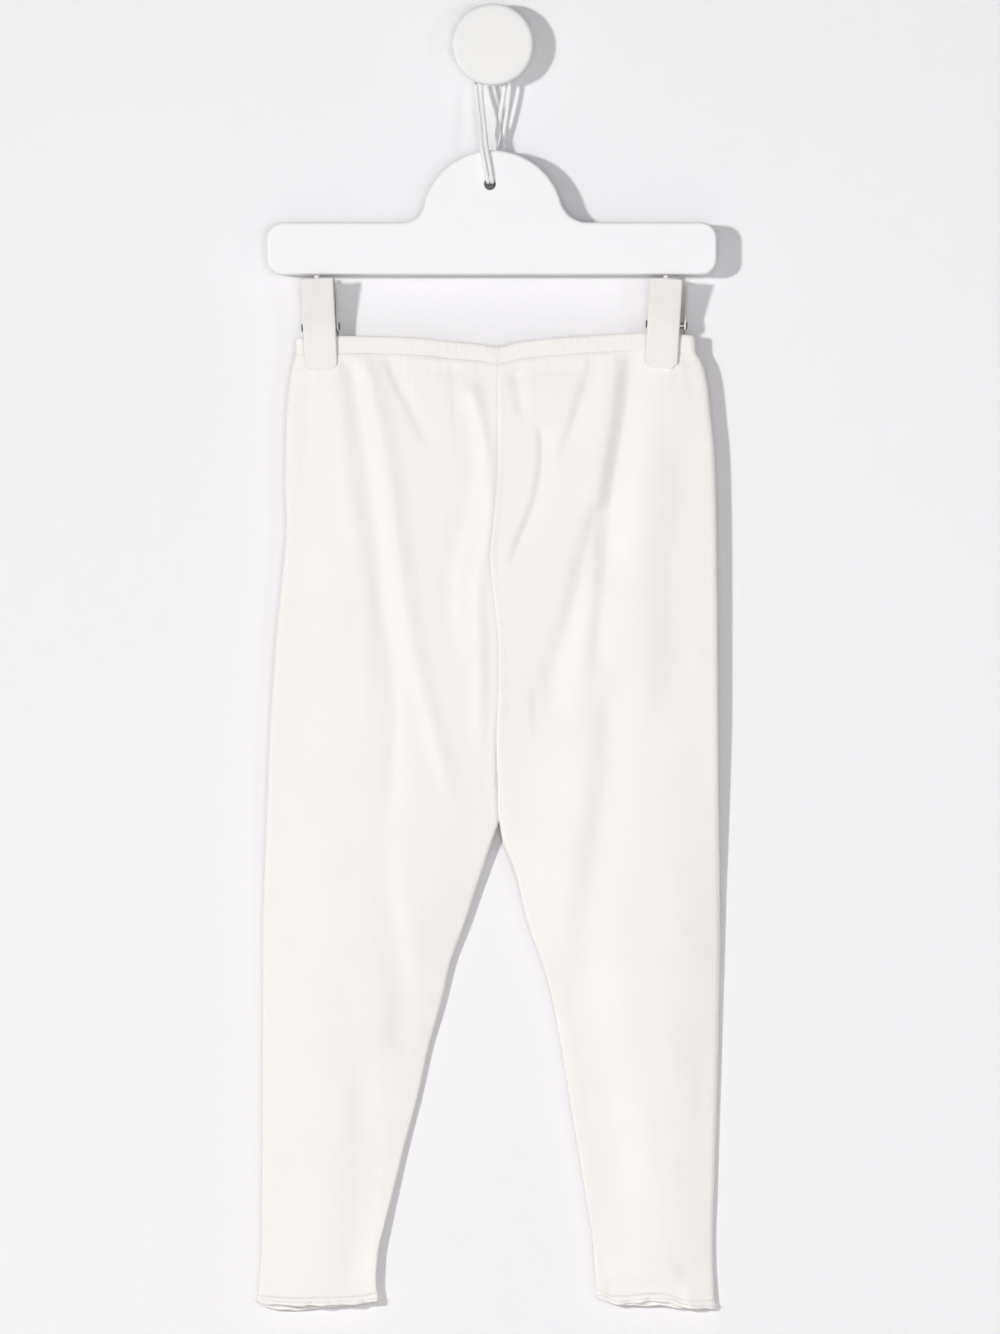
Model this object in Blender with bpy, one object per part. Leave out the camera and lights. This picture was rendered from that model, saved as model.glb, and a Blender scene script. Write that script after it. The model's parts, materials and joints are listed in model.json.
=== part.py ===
# A child's jersey leggings, held by two sprung clips under a small painted hanger,
# which hangs by a doubled cord from a round wall peg.
# The script works in millimetres and scales to metres when a mesh is made. +Z is up.
# The wall is the plane y = 0 and everything stands in front of it, at negative y.
# The origin is the centre of the peg's flat back. Left and right are as the viewer sees them.
# The board and the clips are made in frames of their own: an empty at the board's hole
# carries the board and one empty for each clip, at the clip's top and turned with it.

import math

import bpy
import numpy as np

# Sizes shared by several pieces
METRES = 0.001
GAP = 0.3
WALL = 1.2
SIDES = {"left": -1, "right": 1}

# Peg, turned round the Y axis: radius and distance in front of the wall
PEG_SEGMENTS = 40
PEG_STEM_RADIUS = 7.5
PEG_DISC_RADIUS = 22.75
PEG_DISC_BACK = 13.6
PEG_FRONT = 21.6
PEG_BEVEL_BACK = 1.6
PEG_BEVEL_FRONT = 2.1

# Hanger board, a flat bar with a round dome above it
BOARD_FRONT = -22.5
BOARD_BACK = -5.5
BOARD_LEFT = -125.9
BOARD_RIGHT = 124.2
BOARD_TOP = -100.5
BOARD_BOTTOM = -129.6
BOARD_CORNER = 9.0
BOARD_ROUNDING = 3.0
DOME_CENTRE = (0.0, -98.6)
DOME_RADIUS = 39.4
DOME_FILLET = {"left": 11.5, "right": 15.5}
HOLE_CENTRE = (-1.6, -78.2)
HOLE_RADIUS = 3.3
HOLE_SEGMENTS = 24

# Cord, two turns of the same round elastic
CORD_RADIUS = 1.2
CORD_SIDES = 6
CORD_ON_PEG = PEG_STEM_RADIUS + CORD_RADIUS + 0.4
CORD_FRONT = BOARD_FRONT - CORD_RADIUS - GAP
CORD_BACK = BOARD_BACK + CORD_RADIUS + GAP
CORD_IN_HOLE = HOLE_CENTRE[1] + 1.45
CORD_LEAVES_PEG = -8.0

# Each turn: distance of its bend over the peg from the wall, then its place across at four heights
CORD_HEIGHTS = (-22.4, -31.0, -45.0, -59.5)
CORD_TURNS = {
    # name: (y on peg, x in hole, x in front going down, x behind going down)
    "back": (-3.2, -2.9, (-9.6, -9.1, -7.5, -6.0), (6.2, 5.0, 2.8, 0.7)),
    "front": (-6.6, -0.3, (-8.2, -6.9, -4.7, -3.0), (7.6, 7.0, 5.6, 4.0)),
}

# Clips, pressed from sheet: two plates on one pin, hung from the board by a tongue
CLIP_TOP = {"left": (-97.5, -131.9), "right": (96.0, -132.1)}
CLIP_TILT = {"left": 2.8, "right": -3.0}
CLIP_LENGTH = {"left": 50.6, "right": 49.3}
CLIP_EDGES = {
    # (plate, side): its left and right edges, from the clip's centre line
    ("front", "left"): (-9.2, 9.2), ("rear", "left"): (-8.1, 10.6),
    ("front", "right"): (-9.1, 9.1), ("rear", "right"): (-8.0, 12.4),
}
CLIP_CHAMFER = 3.0
CLIP_SHEET = 1.0
CLIP_PIVOT_DOWN = {"left": 26.4, "right": 24.8}
CLIP_HALF_TOP = {"front": 13.6, "rear": 10.4}
CLIP_HALF_PIVOT = 5.4
CLIP_HALF_JAW = 3.8
CLIP_EAR = 0.8
CLIP_EAR_TOP = 1.5
CLIP_EAR_DEPTH = 2.2
CLIP_PIN_RADIUS = 1.5
CLIP_TONGUE_WIDTH = 6.0
CLIP_MIDDLE = -13.5

# Cloth outline, measured down the photo: rows of (height, distance across)
LEFT_EDGE = (
    (-164, -110.2), (-176, -111.0), (-189, -113.6), (-211, -115.5), (-244, -116.1),
    (-272, -115.4), (-299, -118.0), (-342, -122.0), (-390, -125.0), (-433, -126.6),
    (-480, -128.4), (-589, -129.0), (-653, -129.2), (-680, -129.8), (-708, -132.0),
)
RIGHT_EDGE = (
    (-164, 113.1), (-176, 114.4), (-180, 117.0), (-192, 120.0), (-212, 122.2),
    (-229, 123.9), (-272, 125.0), (-412, 125.6), (-496, 125.6), (-558, 125.0),
    (-597, 123.9), (-636, 123.0), (-670, 122.5), (-708, 123.9),
)
LEFT_INSEAM = (
    (-433.4, 3.5), (-446, -1.0), (-471.5, -10.0), (-493, -17.2), (-513, -24.5),
    (-537, -30.1), (-560, -36.6), (-589, -43.0), (-617, -50.3), (-646, -57.3),
    (-664, -61.5), (-679, -64.8), (-695, -65.6), (-708, -63.6),
)
RIGHT_INSEAM = (
    (-433.4, 3.5), (-445, 5.4), (-457, 10.2), (-468, 13.6), (-491, 19.0),
    (-513, 27.0), (-535, 33.0), (-558, 37.4), (-585, 41.8), (-606, 45.0),
    (-625, 48.3), (-650, 52.2), (-670, 55.4), (-692, 57.2), (-708, 59.4),
)
# Centre front seam from the waist down to the crotch, and the plainer one behind
FRONT_SEAM = (
    (-160, 2.9), (-227, 2.9), (-267, 0.3), (-283, -1.4), (-317, 1.8),
    (-334, 3.4), (-356, 3.4), (-390, 2.0), (-433.4, 3.5),
)
BACK_SEAM = ((-160, 3.0), (-433.4, 3.5))
# Top edge of the waist, sagging between the clips: (distance across, height)
WAIST_TOP = (
    (-112, -164.3), (-84, -163.1), (-45, -164.0), (-23, -166.2), (-6, -167.8),
    (2.4, -169.2), (16, -166.2), (39, -163.9), (62, -162.4), (86, -161.4), (116, -163.2),
)
# Lower edge of each leg's main cloth in front, and how much lower the back hangs
# there: (distance across, height) and (distance across, drop)
HEM_LINE = (
    (-131.5, -701.0), (-119, -702.0), (-110, -702.4), (-87, -702.0), (-72, -701.1),
    (-65, -699.7), (58, -696.6), (65, -698.7), (68, -699.8), (79, -700.1), (85, -698.9),
    (96, -698.9), (101, -699.8), (106, -701.2), (116, -702.4), (124, -701.9),
)
BACK_DROP = (
    (-131.5, 0.2), (-119, 1.9), (-106, 1.5), (-92, 0.4), (-65, 0.2),
    (58, 0.2), (74, 0.4), (86, 2.6), (97, 2.6), (108, 0.6), (124, 0.2),
)
CROTCH = -433.4
# Middle plane of the cloth, and half its depth at the side folds and between them, by height
MIDDLE = ((-160, -13.5), (-367, -11.8), (-479, -9.4), (-591, -7.9), (-710, -6.6))
HALF_AT_FOLD = ((-160, 3.0), (-250, 3.1), (-433, 3.0), (-600, 2.7), (-710, 2.6))
HALF_BETWEEN = ((-160, 3.0), (-176, 3.2), (-205, 5.2), (-300, 6.6), (-433, 6.2),
                (-550, 5.4), (-650, 5.0), (-710, 4.5))
DEPTH_RISE = 42.0
CLOSING_LENGTH = 75.0

# Largest folds on the front: x and height at the top, middle and bottom of each,
# half width, and how far it stands out (a hollow is negative)
FOLDS = (
    (-72.1, -178, -54.2, -278, -31.2, -392, 6.5, 2.0),
    (-79.5, -180, -64.3, -279, -56.4, -430, 7.5, -1.8),
    (-58.0, -177, -49.7, -199, -37.0, -232, 4.5, -1.4),
    (-21.7, -174, -21.7, -191, -21.2, -222, 3.5, 1.3),
    (-13.5, -184, -2.7, -239, -8.0, -330, 6.0, 2.2),
    (-14.0, -205, -20.5, -262, -29.5, -325, 6.0, -1.6),
    (27.0, -214, 21.0, -255, 8.0, -292, 5.5, -1.7),
    (58.5, -179, 50.0, -205, 41.0, -238, 5.0, -1.8),
    (78.5, -174, 66.5, -236, 60.0, -292, 5.0, -3.2),
    (55.0, -283, 43.5, -322, 32.0, -372, 6.5, -1.8),
    (64.0, -283, 58.9, -317, 54.0, -352, 5.0, -1.4),
    (77.0, -262, 78.0, -325, 78.0, -392, 10.0, 1.6),
    (104.5, -212, 101.0, -290, 94.0, -392, 8.5, -1.5),
    (67.0, -345, 56.0, -462, 52.0, -560, 11.0, -1.4),
    (52.5, -530, 57.0, -585, 69.0, -655, 10.0, -2.0),
    (-61.5, -440, -54.0, -513, -53.5, -580, 9.0, -1.6),
    (-76.0, -560, -71.5, -625, -73.0, -688, 9.5, -2.0),
)
# Back folds: the front ones turned about, shallower because the wall is near
BACK_FOLD_SHARE = 0.45

# Grid of each leg panel
FRONT_COLUMNS = 17
BACK_COLUMNS = 9
ROWS_ABOVE = 13
ROWS_BELOW = 14
FOLD_ANGLES = (0, 30, 60, 90)

# Waist casing, with the elastic inside it, drawn up in small gathers
CASING_HEIGHT = 10.0
CASING_WALL = 2.4
CASING_GATHERS = 44
CASING_GATHER_DEPTH = 0.28

# Hem edging, oversewn and stretched so that it waves a little
HEM_HEIGHT = 4.6
HEM_WALL = 1.7
HEM_COLUMNS = 56
HEM_WAVES = {"left": 9, "right": 10}
HEM_WAVE = 0.45
HEM_FLARE = 0.6

# Colours and surfaces: (red, green, blue), roughness, metallic
FINISHES = {
    "jersey": ((0.86, 0.83, 0.79), 0.9, 0.0),
    "casing jersey": ((0.85, 0.82, 0.78), 0.9, 0.0),
    "hem thread": ((0.87, 0.84, 0.80), 0.85, 0.0),
    "painted board": ((0.85, 0.84, 0.85), 0.4, 0.0),
    "painted peg": ((0.80, 0.79, 0.78), 0.5, 0.0),
    "elastic cord": ((0.86, 0.86, 0.86), 0.8, 0.0),
    "clip paint": ((0.77, 0.75, 0.72), 0.35, 0.0),
    "pin steel": ((0.35, 0.34, 0.33), 0.4, 1.0),
}


# Tools for tables, meshes and sections


def clear_scene():
    """Empty the scene of every object."""
    for item in list(bpy.data.objects):
        bpy.data.objects.remove(item, do_unlink=True)


def finish(piece, surface):
    """A piece's own Principled material, from the table of surfaces."""
    colour, roughness, metallic = FINISHES[surface]
    made = bpy.data.materials.new(piece + " " + surface)
    made.use_nodes = True
    shader = made.node_tree.nodes["Principled BSDF"]
    shader.inputs["Base Color"].default_value = (*colour, 1.0)
    shader.inputs["Roughness"].default_value = roughness
    shader.inputs["Metallic"].default_value = metallic
    return made


def smooth_table(table, at):
    """Value at one place from rows of (place, value), by cubic pieces that never overshoot."""
    rows = sorted(table)
    places = np.array([row[0] for row in rows], float)
    values = np.array([row[1] for row in rows], float)
    at = min(max(at, places[0]), places[-1])
    slopes = np.diff(values) / np.diff(places)
    tangents = np.zeros(len(rows))
    tangents[0] = slopes[0]
    tangents[-1] = slopes[-1]
    for k in range(1, len(rows) - 1):
        if slopes[k - 1] * slopes[k] > 0:
            tangents[k] = 2 * slopes[k - 1] * slopes[k] / (slopes[k - 1] + slopes[k])
    k = min(int(np.searchsorted(places, at, side="right")) - 1, len(rows) - 2)
    width = places[k + 1] - places[k]
    t = (at - places[k]) / width
    return float(
        values[k] * (1 + 2 * t) * (1 - t) ** 2
        + values[k + 1] * t * t * (3 - 2 * t)
        + tangents[k] * width * t * (1 - t) ** 2
        - tangents[k + 1] * width * t * t * (1 - t)
    )


def ease(t):
    """Smooth step from 0 to 1."""
    t = min(max(t, 0.0), 1.0)
    return t * t * (3 - 2 * t)


def add_frame(name, place, tilt, parent):
    """An empty at a place in its parent's frame, tilted about the Y axis by degrees."""
    made = bpy.data.objects.new(name, None)
    made.location = [METRES * value for value in place]
    made.rotation_euler = (0.0, -math.radians(tilt), 0.0)
    made.parent = parent
    bpy.context.scene.collection.objects.link(made)
    return made


def add_solid(name, points, faces, surface):
    """One object from points in millimetres and faces, turned so that they face out."""
    points = np.asarray(points, float)
    volume = 0.0
    for face in faces:
        for k in range(1, len(face) - 1):
            a, b, c = points[face[0]], points[face[k]], points[face[k + 1]]
            volume += float(np.dot(a, np.cross(b, c)))
    if volume < 0:
        faces = [tuple(reversed(face)) for face in faces]
    mesh = bpy.data.meshes.new(name)
    mesh.from_pydata([tuple(p) for p in points * METRES], [], [tuple(f) for f in faces])
    mesh.materials.append(finish(name, surface))
    made = bpy.data.objects.new(name, mesh)
    bpy.context.scene.collection.objects.link(made)
    return made


def swept(name, rings, surface, closed=False):
    """A solid through rings of equal count, either closed on itself or capped at both ends."""
    count = len(rings)
    around = len(rings[0])
    points = [p for ring in rings for p in ring]
    faces = []
    for i in range(count if closed else count - 1):
        j = (i + 1) % count
        for k in range(around):
            m = (k + 1) % around
            faces.append((i * around + k, i * around + m, j * around + m, j * around + k))
    if not closed:
        faces.append(tuple(reversed(range(around))))
        faces.append(tuple((count - 1) * around + k for k in range(around)))
    return add_solid(name, points, faces, surface)


def boolean(target, cutter, operation):
    """Apply an exact Boolean to the target and leave the cutter out of the scene."""
    modifier = target.modifiers.new(operation.lower(), "BOOLEAN")
    modifier.operation = operation
    modifier.solver = "EXACT"
    modifier.object = cutter
    graph = bpy.context.evaluated_depsgraph_get()
    cut = bpy.data.meshes.new_from_object(target.evaluated_get(graph))
    target.modifiers.remove(modifier)
    old = target.data
    target.data = cut
    bpy.data.meshes.remove(old)
    bpy.data.objects.remove(cutter, do_unlink=True)


def tube(name, start, end, radius, sides, surface):
    """A round bar between two points."""
    start = np.array(start, float)
    end = np.array(end, float)
    axis = (end - start) / np.linalg.norm(end - start)
    side = np.cross(axis, (0.0, 0.0, 1.0) if abs(axis[2]) < 0.9 else (1.0, 0.0, 0.0))
    side /= np.linalg.norm(side)
    other = np.cross(axis, side)
    turns = [2 * math.pi * k / sides for k in range(sides)]
    rings = [
        [p + radius * (math.cos(a) * side + math.sin(a) * other) for a in turns]
        for p in (start, end)
    ]
    return swept(name, rings, surface)


# Peg


def make_peg():
    """The round peg: stem, disc and bevelled rim, turned round the Y axis."""
    profile = (
        # (radius, distance in front of the wall)
        (PEG_STEM_RADIUS, 0.0),
        (PEG_STEM_RADIUS, PEG_DISC_BACK),
        (PEG_DISC_RADIUS - PEG_BEVEL_BACK, PEG_DISC_BACK),
        (PEG_DISC_RADIUS, PEG_DISC_BACK + PEG_BEVEL_BACK),
        (PEG_DISC_RADIUS, PEG_FRONT - PEG_BEVEL_FRONT),
        (PEG_DISC_RADIUS - 0.35 * PEG_BEVEL_FRONT, PEG_FRONT - 0.4 * PEG_BEVEL_FRONT),
        (PEG_DISC_RADIUS - PEG_BEVEL_FRONT, PEG_FRONT),
    )
    turns = [2 * math.pi * k / PEG_SEGMENTS for k in range(PEG_SEGMENTS)]
    rings = [[(r * math.cos(a), -y, r * math.sin(a)) for a in turns] for r, y in profile]
    swept("peg", rings, "painted peg")


# Hanger board


def arc(centre, radius, start, end, steps):
    """Points on an arc, angles in degrees."""
    angles = [math.radians(start + (end - start) * k / steps) for k in range(steps + 1)]
    return [(centre[0] + radius * math.cos(a), centre[1] + radius * math.sin(a)) for a in angles]


def board_outline():
    """The board's outline in (across, height), anticlockwise from the lower left corner."""
    r = BOARD_CORNER
    outline = arc((BOARD_LEFT + r, BOARD_BOTTOM + r), r, 180, 270, 5)
    outline += arc((BOARD_RIGHT - r, BOARD_BOTTOM + r), r, 270, 360, 5)
    outline += arc((BOARD_RIGHT - r, BOARD_TOP - r), r, 0, 90, 5)
    blends = {}
    for side, way in SIDES.items():
        fillet = DOME_FILLET[side]
        rise = BOARD_TOP + fillet - DOME_CENTRE[1]
        reach = math.sqrt((DOME_RADIUS + fillet) ** 2 - rise**2)
        centre = (DOME_CENTRE[0] + way * reach, BOARD_TOP + fillet)
        blends[side] = (centre, fillet, math.degrees(math.atan2(rise, reach)))
    centre, fillet, lean = blends["right"]
    outline += arc(centre, fillet, 270, 180 + lean, 6)
    outline += arc(DOME_CENTRE, DOME_RADIUS, lean, 180 - blends["left"][2], 22)[1:]
    centre, fillet, lean = blends["left"]
    outline += arc(centre, fillet, -lean, -90, 6)[1:]
    outline += arc((BOARD_LEFT + r, BOARD_TOP - r), r, 90, 180, 5)
    return outline


def inset(outline, by):
    """The outline moved inwards by a small distance."""
    points = np.array(outline)
    ahead = np.roll(points, -1, axis=0) - points
    ahead /= np.linalg.norm(ahead, axis=1)[:, None]
    behind = np.roll(ahead, 1, axis=0)
    normal = np.stack([ahead[:, 1] + behind[:, 1], -ahead[:, 0] - behind[:, 0]], axis=1)
    normal /= np.linalg.norm(normal, axis=1)[:, None]
    return points - normal * by


def make_board(hanger):
    """The painted board in the hanger's frame: rounded edges, and the round hole for the cord."""
    outline = np.array(board_outline()) - HOLE_CENTRE
    rings = []
    quarter = [math.radians(a) for a in (0, 30, 60, 90)]
    for a in quarter:
        ring = inset(outline, BOARD_ROUNDING * (1 - math.sin(a)))
        y = BOARD_FRONT + BOARD_ROUNDING * (1 - math.cos(a))
        rings.append([(x, y, z) for x, z in ring])
    for a in reversed(quarter):
        ring = inset(outline, BOARD_ROUNDING * (1 - math.sin(a)))
        y = BOARD_BACK - BOARD_ROUNDING * (1 - math.cos(a))
        rings.append([(x, y, z) for x, z in ring])
    board = swept("hanger_board", rings, "painted board")
    cutter = tube(
        "hole", (0.0, BOARD_FRONT - 5, 0.0), (0.0, BOARD_BACK + 5, 0.0), HOLE_RADIUS,
        HOLE_SEGMENTS, "painted board",
    )
    boolean(board, cutter, "DIFFERENCE")
    board.parent = hanger


# Cord


def cord_path(y_on_peg, x_in_hole, in_front, behind):
    """Control points of one turn: down in front, through the hole, up behind, over the peg."""
    points = []
    run = CORD_LEAVES_PEG - CORD_HEIGHTS[-1]
    for x, z in zip(in_front, CORD_HEIGHTS):
        share = (CORD_LEAVES_PEG - z) / run
        points.append((x, y_on_peg + (CORD_FRONT - y_on_peg) * share, z))
    x = x_in_hole
    spread = 1.9 if x < HOLE_CENTRE[0] else -0.8
    points += [
        (x - 0.8 * spread, CORD_FRONT, -71.0),
        (x - 0.4 * spread, CORD_FRONT, -74.4),
        (x, CORD_FRONT + 0.5, -76.1),
        (x, BOARD_FRONT + 0.8, CORD_IN_HOLE),
        (x, 0.5 * (BOARD_FRONT + BOARD_BACK), CORD_IN_HOLE),
        (x, BOARD_BACK - 0.8, CORD_IN_HOLE),
        (x, CORD_BACK - 0.5, -76.1),
        (x + 0.2, CORD_BACK, -74.4),
        (x + 0.5, CORD_BACK, -71.0),
    ]
    for x, z in reversed(list(zip(behind, CORD_HEIGHTS))):
        share = (CORD_LEAVES_PEG - z) / run
        points.append((x, y_on_peg + (CORD_BACK - y_on_peg) * share, z))
    for degrees in range(-20, 201, 22):
        a = math.radians(degrees)
        points.append((CORD_ON_PEG * math.cos(a), y_on_peg, CORD_ON_PEG * math.sin(a)))
    return np.array(points)


def closed_curve(points, steps):
    """A smooth closed curve through the points, with the same number of steps between each pair."""
    count = len(points)
    curve = []
    for i in range(count):
        a, b, c, d = (points[(i + k) % count] for k in (-1, 0, 1, 2))
        for step in range(steps):
            t = step / steps
            curve.append(
                0.5 * (2 * b + (c - a) * t + (2 * a - 5 * b + 4 * c - d) * t**2
                       + (3 * b - a - 3 * c + d) * t**3)
            )
    return np.array(curve)


def closed_tube(name, path, radius, sides, surface):
    """A round cord round a closed path, its section carried along without twisting."""
    count = len(path)
    tangent = np.roll(path, -1, axis=0) - np.roll(path, 1, axis=0)
    tangent /= np.linalg.norm(tangent, axis=1)[:, None]
    normal = np.zeros((count + 1, 3))
    first = np.cross(tangent[0], (0.0, 1.0, 0.0))
    normal[0] = first / np.linalg.norm(first)
    for i in range(1, count + 1):
        t = tangent[i % count]
        n = normal[i - 1] - t * np.dot(normal[i - 1], t)
        normal[i] = n / np.linalg.norm(n)
    turn = math.atan2(
        float(np.dot(np.cross(normal[0], normal[count]), tangent[0])),
        float(np.dot(normal[0], normal[count])),
    )
    rings = []
    for i in range(count):
        across = np.cross(tangent[i], normal[i])
        undo = -turn * i / count
        ring = []
        for k in range(sides):
            a = 2 * math.pi * k / sides + undo
            ring.append(path[i] + radius * (math.cos(a) * normal[i] + math.sin(a) * across))
        rings.append(ring)
    swept(name, rings, surface, closed=True)


def make_cord():
    """Both turns of the hanging cord."""
    for name, (y_on_peg, x_in_hole, in_front, behind) in CORD_TURNS.items():
        path = closed_curve(cord_path(y_on_peg, x_in_hole, in_front, behind), 2)
        closed_tube("cord_turn_" + name, path, CORD_RADIUS, CORD_SIDES, "elastic cord")


# Clips


def clip_point(across, down, forward):
    """A point in a clip's own frame: across it, down it from its top, forward of its middle."""
    return (across, -forward, -down)


def plate_lean(side, plate, down):
    """Distance of a plate's inner face from the clip's middle: splayed above the pivot."""
    pivot = CLIP_PIVOT_DOWN[side]
    top = CLIP_HALF_TOP[plate]
    if down < pivot:
        return top + (CLIP_HALF_PIVOT - top) * down / pivot
    share = (down - pivot) / (CLIP_LENGTH[side] - pivot)
    return CLIP_HALF_PIVOT + (CLIP_HALF_JAW - CLIP_HALF_PIVOT) * share


def clip_plate(side, plate):
    """One plate, bent at the pivot, with cut lower corners."""
    way = 1 if plate == "front" else -1
    length = CLIP_LENGTH[side]
    left, right = CLIP_EDGES[plate, side]
    stations = (
        # (down, cut off each edge)
        (0.0, 0.0),
        (CLIP_PIVOT_DOWN[side], 0.0),
        (length - CLIP_CHAMFER, 0.0),
        (length, CLIP_CHAMFER),
    )
    rings = []
    for v, cut in stations:
        inner = way * plate_lean(side, plate, v)
        outer = inner + way * CLIP_SHEET
        near, far = left + cut, right - cut
        corners = ((near, inner), (far, inner), (far, outer), (near, outer))
        rings.append([clip_point(u, v, w) for u, w in corners])
    return swept(f"clip_{plate}_{side}", rings, "clip paint")


def clip_ear(side, plate, across, reach):
    """One side flange of a plate, from inside the sheet, narrow at the top, back past the pin."""
    way = 1 if plate == "front" else -1
    pivot = CLIP_PIVOT_DOWN[side]
    low = pivot + 3.6
    half = CLIP_EAR / 2
    rings = []
    for u in (across - half, across + half):
        ring = [
            clip_point(u, v, way * (plate_lean(side, plate, v) + 0.5))
            for v in (CLIP_EAR_TOP, pivot, low)
        ]
        ring += [
            clip_point(u, low - 1.2, -way * reach),
            clip_point(u, pivot - 3.4, -way * reach),
            clip_point(u, CLIP_EAR_TOP,
                       way * (plate_lean(side, plate, CLIP_EAR_TOP) - CLIP_EAR_DEPTH)),
        ]
        rings.append(ring)
    return swept("ear", rings, "clip paint")


def make_clip(side, hanger):
    """A clip: front and rear plates with ears, the pin through them, and the hanging tongue."""
    pivot = CLIP_PIVOT_DOWN[side]
    plates = []
    for kind in ("front", "rear"):
        plate = clip_plate(side, kind)
        left, right = CLIP_EDGES[kind, side]
        for across in (left + CLIP_EAR / 2, right - CLIP_EAR / 2):
            boolean(plate, clip_ear(side, kind, across, 2.6), "UNION")
        start = clip_point(left - 4.0, pivot, 0.0)
        end = clip_point(right + 4.0, pivot, 0.0)
        bore = tube("bore", start, end, CLIP_PIN_RADIUS + GAP, 12, "pin steel")
        boolean(plate, bore, "DIFFERENCE")
        plates.append(plate)
    front, rear = plates
    pin = tube(
        "clip_pin_" + side,
        clip_point(CLIP_EDGES["front", side][0] - 0.9, pivot, 0.0),
        clip_point(CLIP_EDGES["rear", side][1] + 0.9, pivot, 0.0),
        CLIP_PIN_RADIUS, 12, "pin steel",
    )
    half = CLIP_TONGUE_WIDTH / 2
    low = pivot + CLIP_PIN_RADIUS + 1.6
    start = CLIP_TOP[side][1] - BOARD_BOTTOM + 0.6
    outline = ((-half, start), (half, start), (half, low - 1.5), (half - 1.5, low),
               (-half + 1.5, low), (-half, low - 1.5))
    rings = [[clip_point(u, v, w) for u, v in outline] for w in (-2.6, 2.6)]
    tongue = swept("clip_tongue_" + side, rings, "clip paint")
    start = clip_point(-8.0, pivot, 0.0)
    end = clip_point(8.0, pivot, 0.0)
    bore = tube("bore", start, end, CLIP_PIN_RADIUS + GAP, 12, "pin steel")
    boolean(tongue, bore, "DIFFERENCE")
    x, z = CLIP_TOP[side]
    place = (x - HOLE_CENTRE[0], CLIP_MIDDLE, z - HOLE_CENTRE[1])
    clip = add_frame("clip_frame_" + side, place, CLIP_TILT[side], hanger)
    for piece in (front, rear, pin, tongue):
        piece.parent = clip


# Cloth


def relief(x, z):
    """How far the front stands out at a place, from the table of folds."""
    total = 0.0
    for x0, z0, x1, z1, x2, z2, half, height in FOLDS:
        if z > z0 or z < z2:
            continue
        middle = (
            x0 * (z - z1) * (z - z2) / ((z0 - z1) * (z0 - z2))
            + x1 * (z - z0) * (z - z2) / ((z1 - z0) * (z1 - z2))
            + x2 * (z - z0) * (z - z1) / ((z2 - z0) * (z2 - z1))
        )
        along = (z0 - z) / (z0 - z2)
        strength = ease(along / 0.14) * ease((1 - along) / 0.3)
        total += height * strength * math.exp(-(((x - middle) / half) ** 2))
    return total


def within(room, out):
    """A hollow eased off so that it never reaches through the room behind it."""
    return out if out > 0 else -room * math.tanh(-out / room)


def edge_share(distance, z):
    """Share of the relief kept near a side fold."""
    return ease((distance - 4.0) / 12.0)


def inner_edge(side, z, front):
    """Place across of a leg's inner edge: the seam above the crotch, the inseam below it."""
    way = SIDES[side]
    if z > CROTCH:
        base = smooth_table(FRONT_SEAM if front else BACK_SEAM, z)
    else:
        base = smooth_table(LEFT_INSEAM if side == "left" else RIGHT_INSEAM, z)
    return base + way * GAP / 2


def outer_edge(side, z):
    """Place across of a leg's outer fold."""
    return smooth_table(LEFT_EDGE if side == "left" else RIGHT_EDGE, z)


def half_depth(z, from_outer, from_inner, closing):
    """Half the cloth's depth, by distance from each side fold and how far the crotch has closed."""
    fold = smooth_table(HALF_AT_FOLD, z)
    between = smooth_table(HALF_BETWEEN, z)
    far = fold + (between - fold) * ease(from_outer / DEPTH_RISE)
    rounded = min(from_inner / fold, 1.0)
    near = fold * math.sqrt(max(1 - (1 - rounded) ** 2, 0.0))
    near += (between - fold) * ease((from_inner - fold) / DEPTH_RISE) * ease(from_outer / DEPTH_RISE)
    if closing >= 1.0:
        return near
    return max(far + (near - far) * closing, WALL + 0.18)


def section(side, z, closing):
    """Outer face of one panel at a height, from the centre front round to the centre back."""
    way = SIDES[side]
    fold = smooth_table(HALF_AT_FOLD, z)
    middle = smooth_table(MIDDLE, z)
    outer = outer_edge(side, z)
    angles = [math.radians(a) for a in FOLD_ANGLES]
    points = []
    halves = ((True, FRONT_COLUMNS), (False, BACK_COLUMNS))
    for front, columns in halves:
        inner = inner_edge(side, z, front)
        width = abs(outer - inner)
        steps = [fold * (1 - math.cos(a)) for a in angles]
        line = np.linspace(fold, width - fold, columns + 2)[1:]
        steps += list(line)
        row = []
        for step in steps:
            x = inner + way * step
            half = half_depth(z, width - step, step, closing)
            keep = edge_share(width - step, z)
            keep *= 1 - closing + closing * edge_share(step, z)
            room = max(half - WALL - 0.2, 0.1)
            if front:
                row.append((x, middle - half - within(room, keep * relief(x, z))))
            else:
                out = within(room, keep * BACK_FOLD_SHARE * relief(4.0 - x, z))
                row.append((x, middle + half + out))
        if front:
            points += row
            for a in (-60, -30, 0, 30, 60):
                turned = math.radians(a)
                points.append((
                    outer - way * fold * (1 - math.cos(turned)),
                    middle + fold * math.sin(turned),
                ))
        else:
            points += row[::-1]
    return np.array(points)


def inwards(side, points, closed):
    """Unit vectors from the outer face into the wall."""
    if closed:
        ring = points[:-1]
        ahead = np.roll(ring, -1, axis=0) - np.roll(ring, 1, axis=0)
        ahead = np.vstack([ahead, ahead[0]])
    else:
        ahead = np.gradient(points, axis=0)
        ahead[0] = (-1.0, 0.0) if side == "left" else (1.0, 0.0)
        ahead[-1] = -ahead[0]
    ahead /= np.linalg.norm(ahead, axis=1)[:, None]
    if side == "left":
        return np.stack([-ahead[:, 1], ahead[:, 0]], axis=1) * -1
    return np.stack([-ahead[:, 1], ahead[:, 0]], axis=1)


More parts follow.
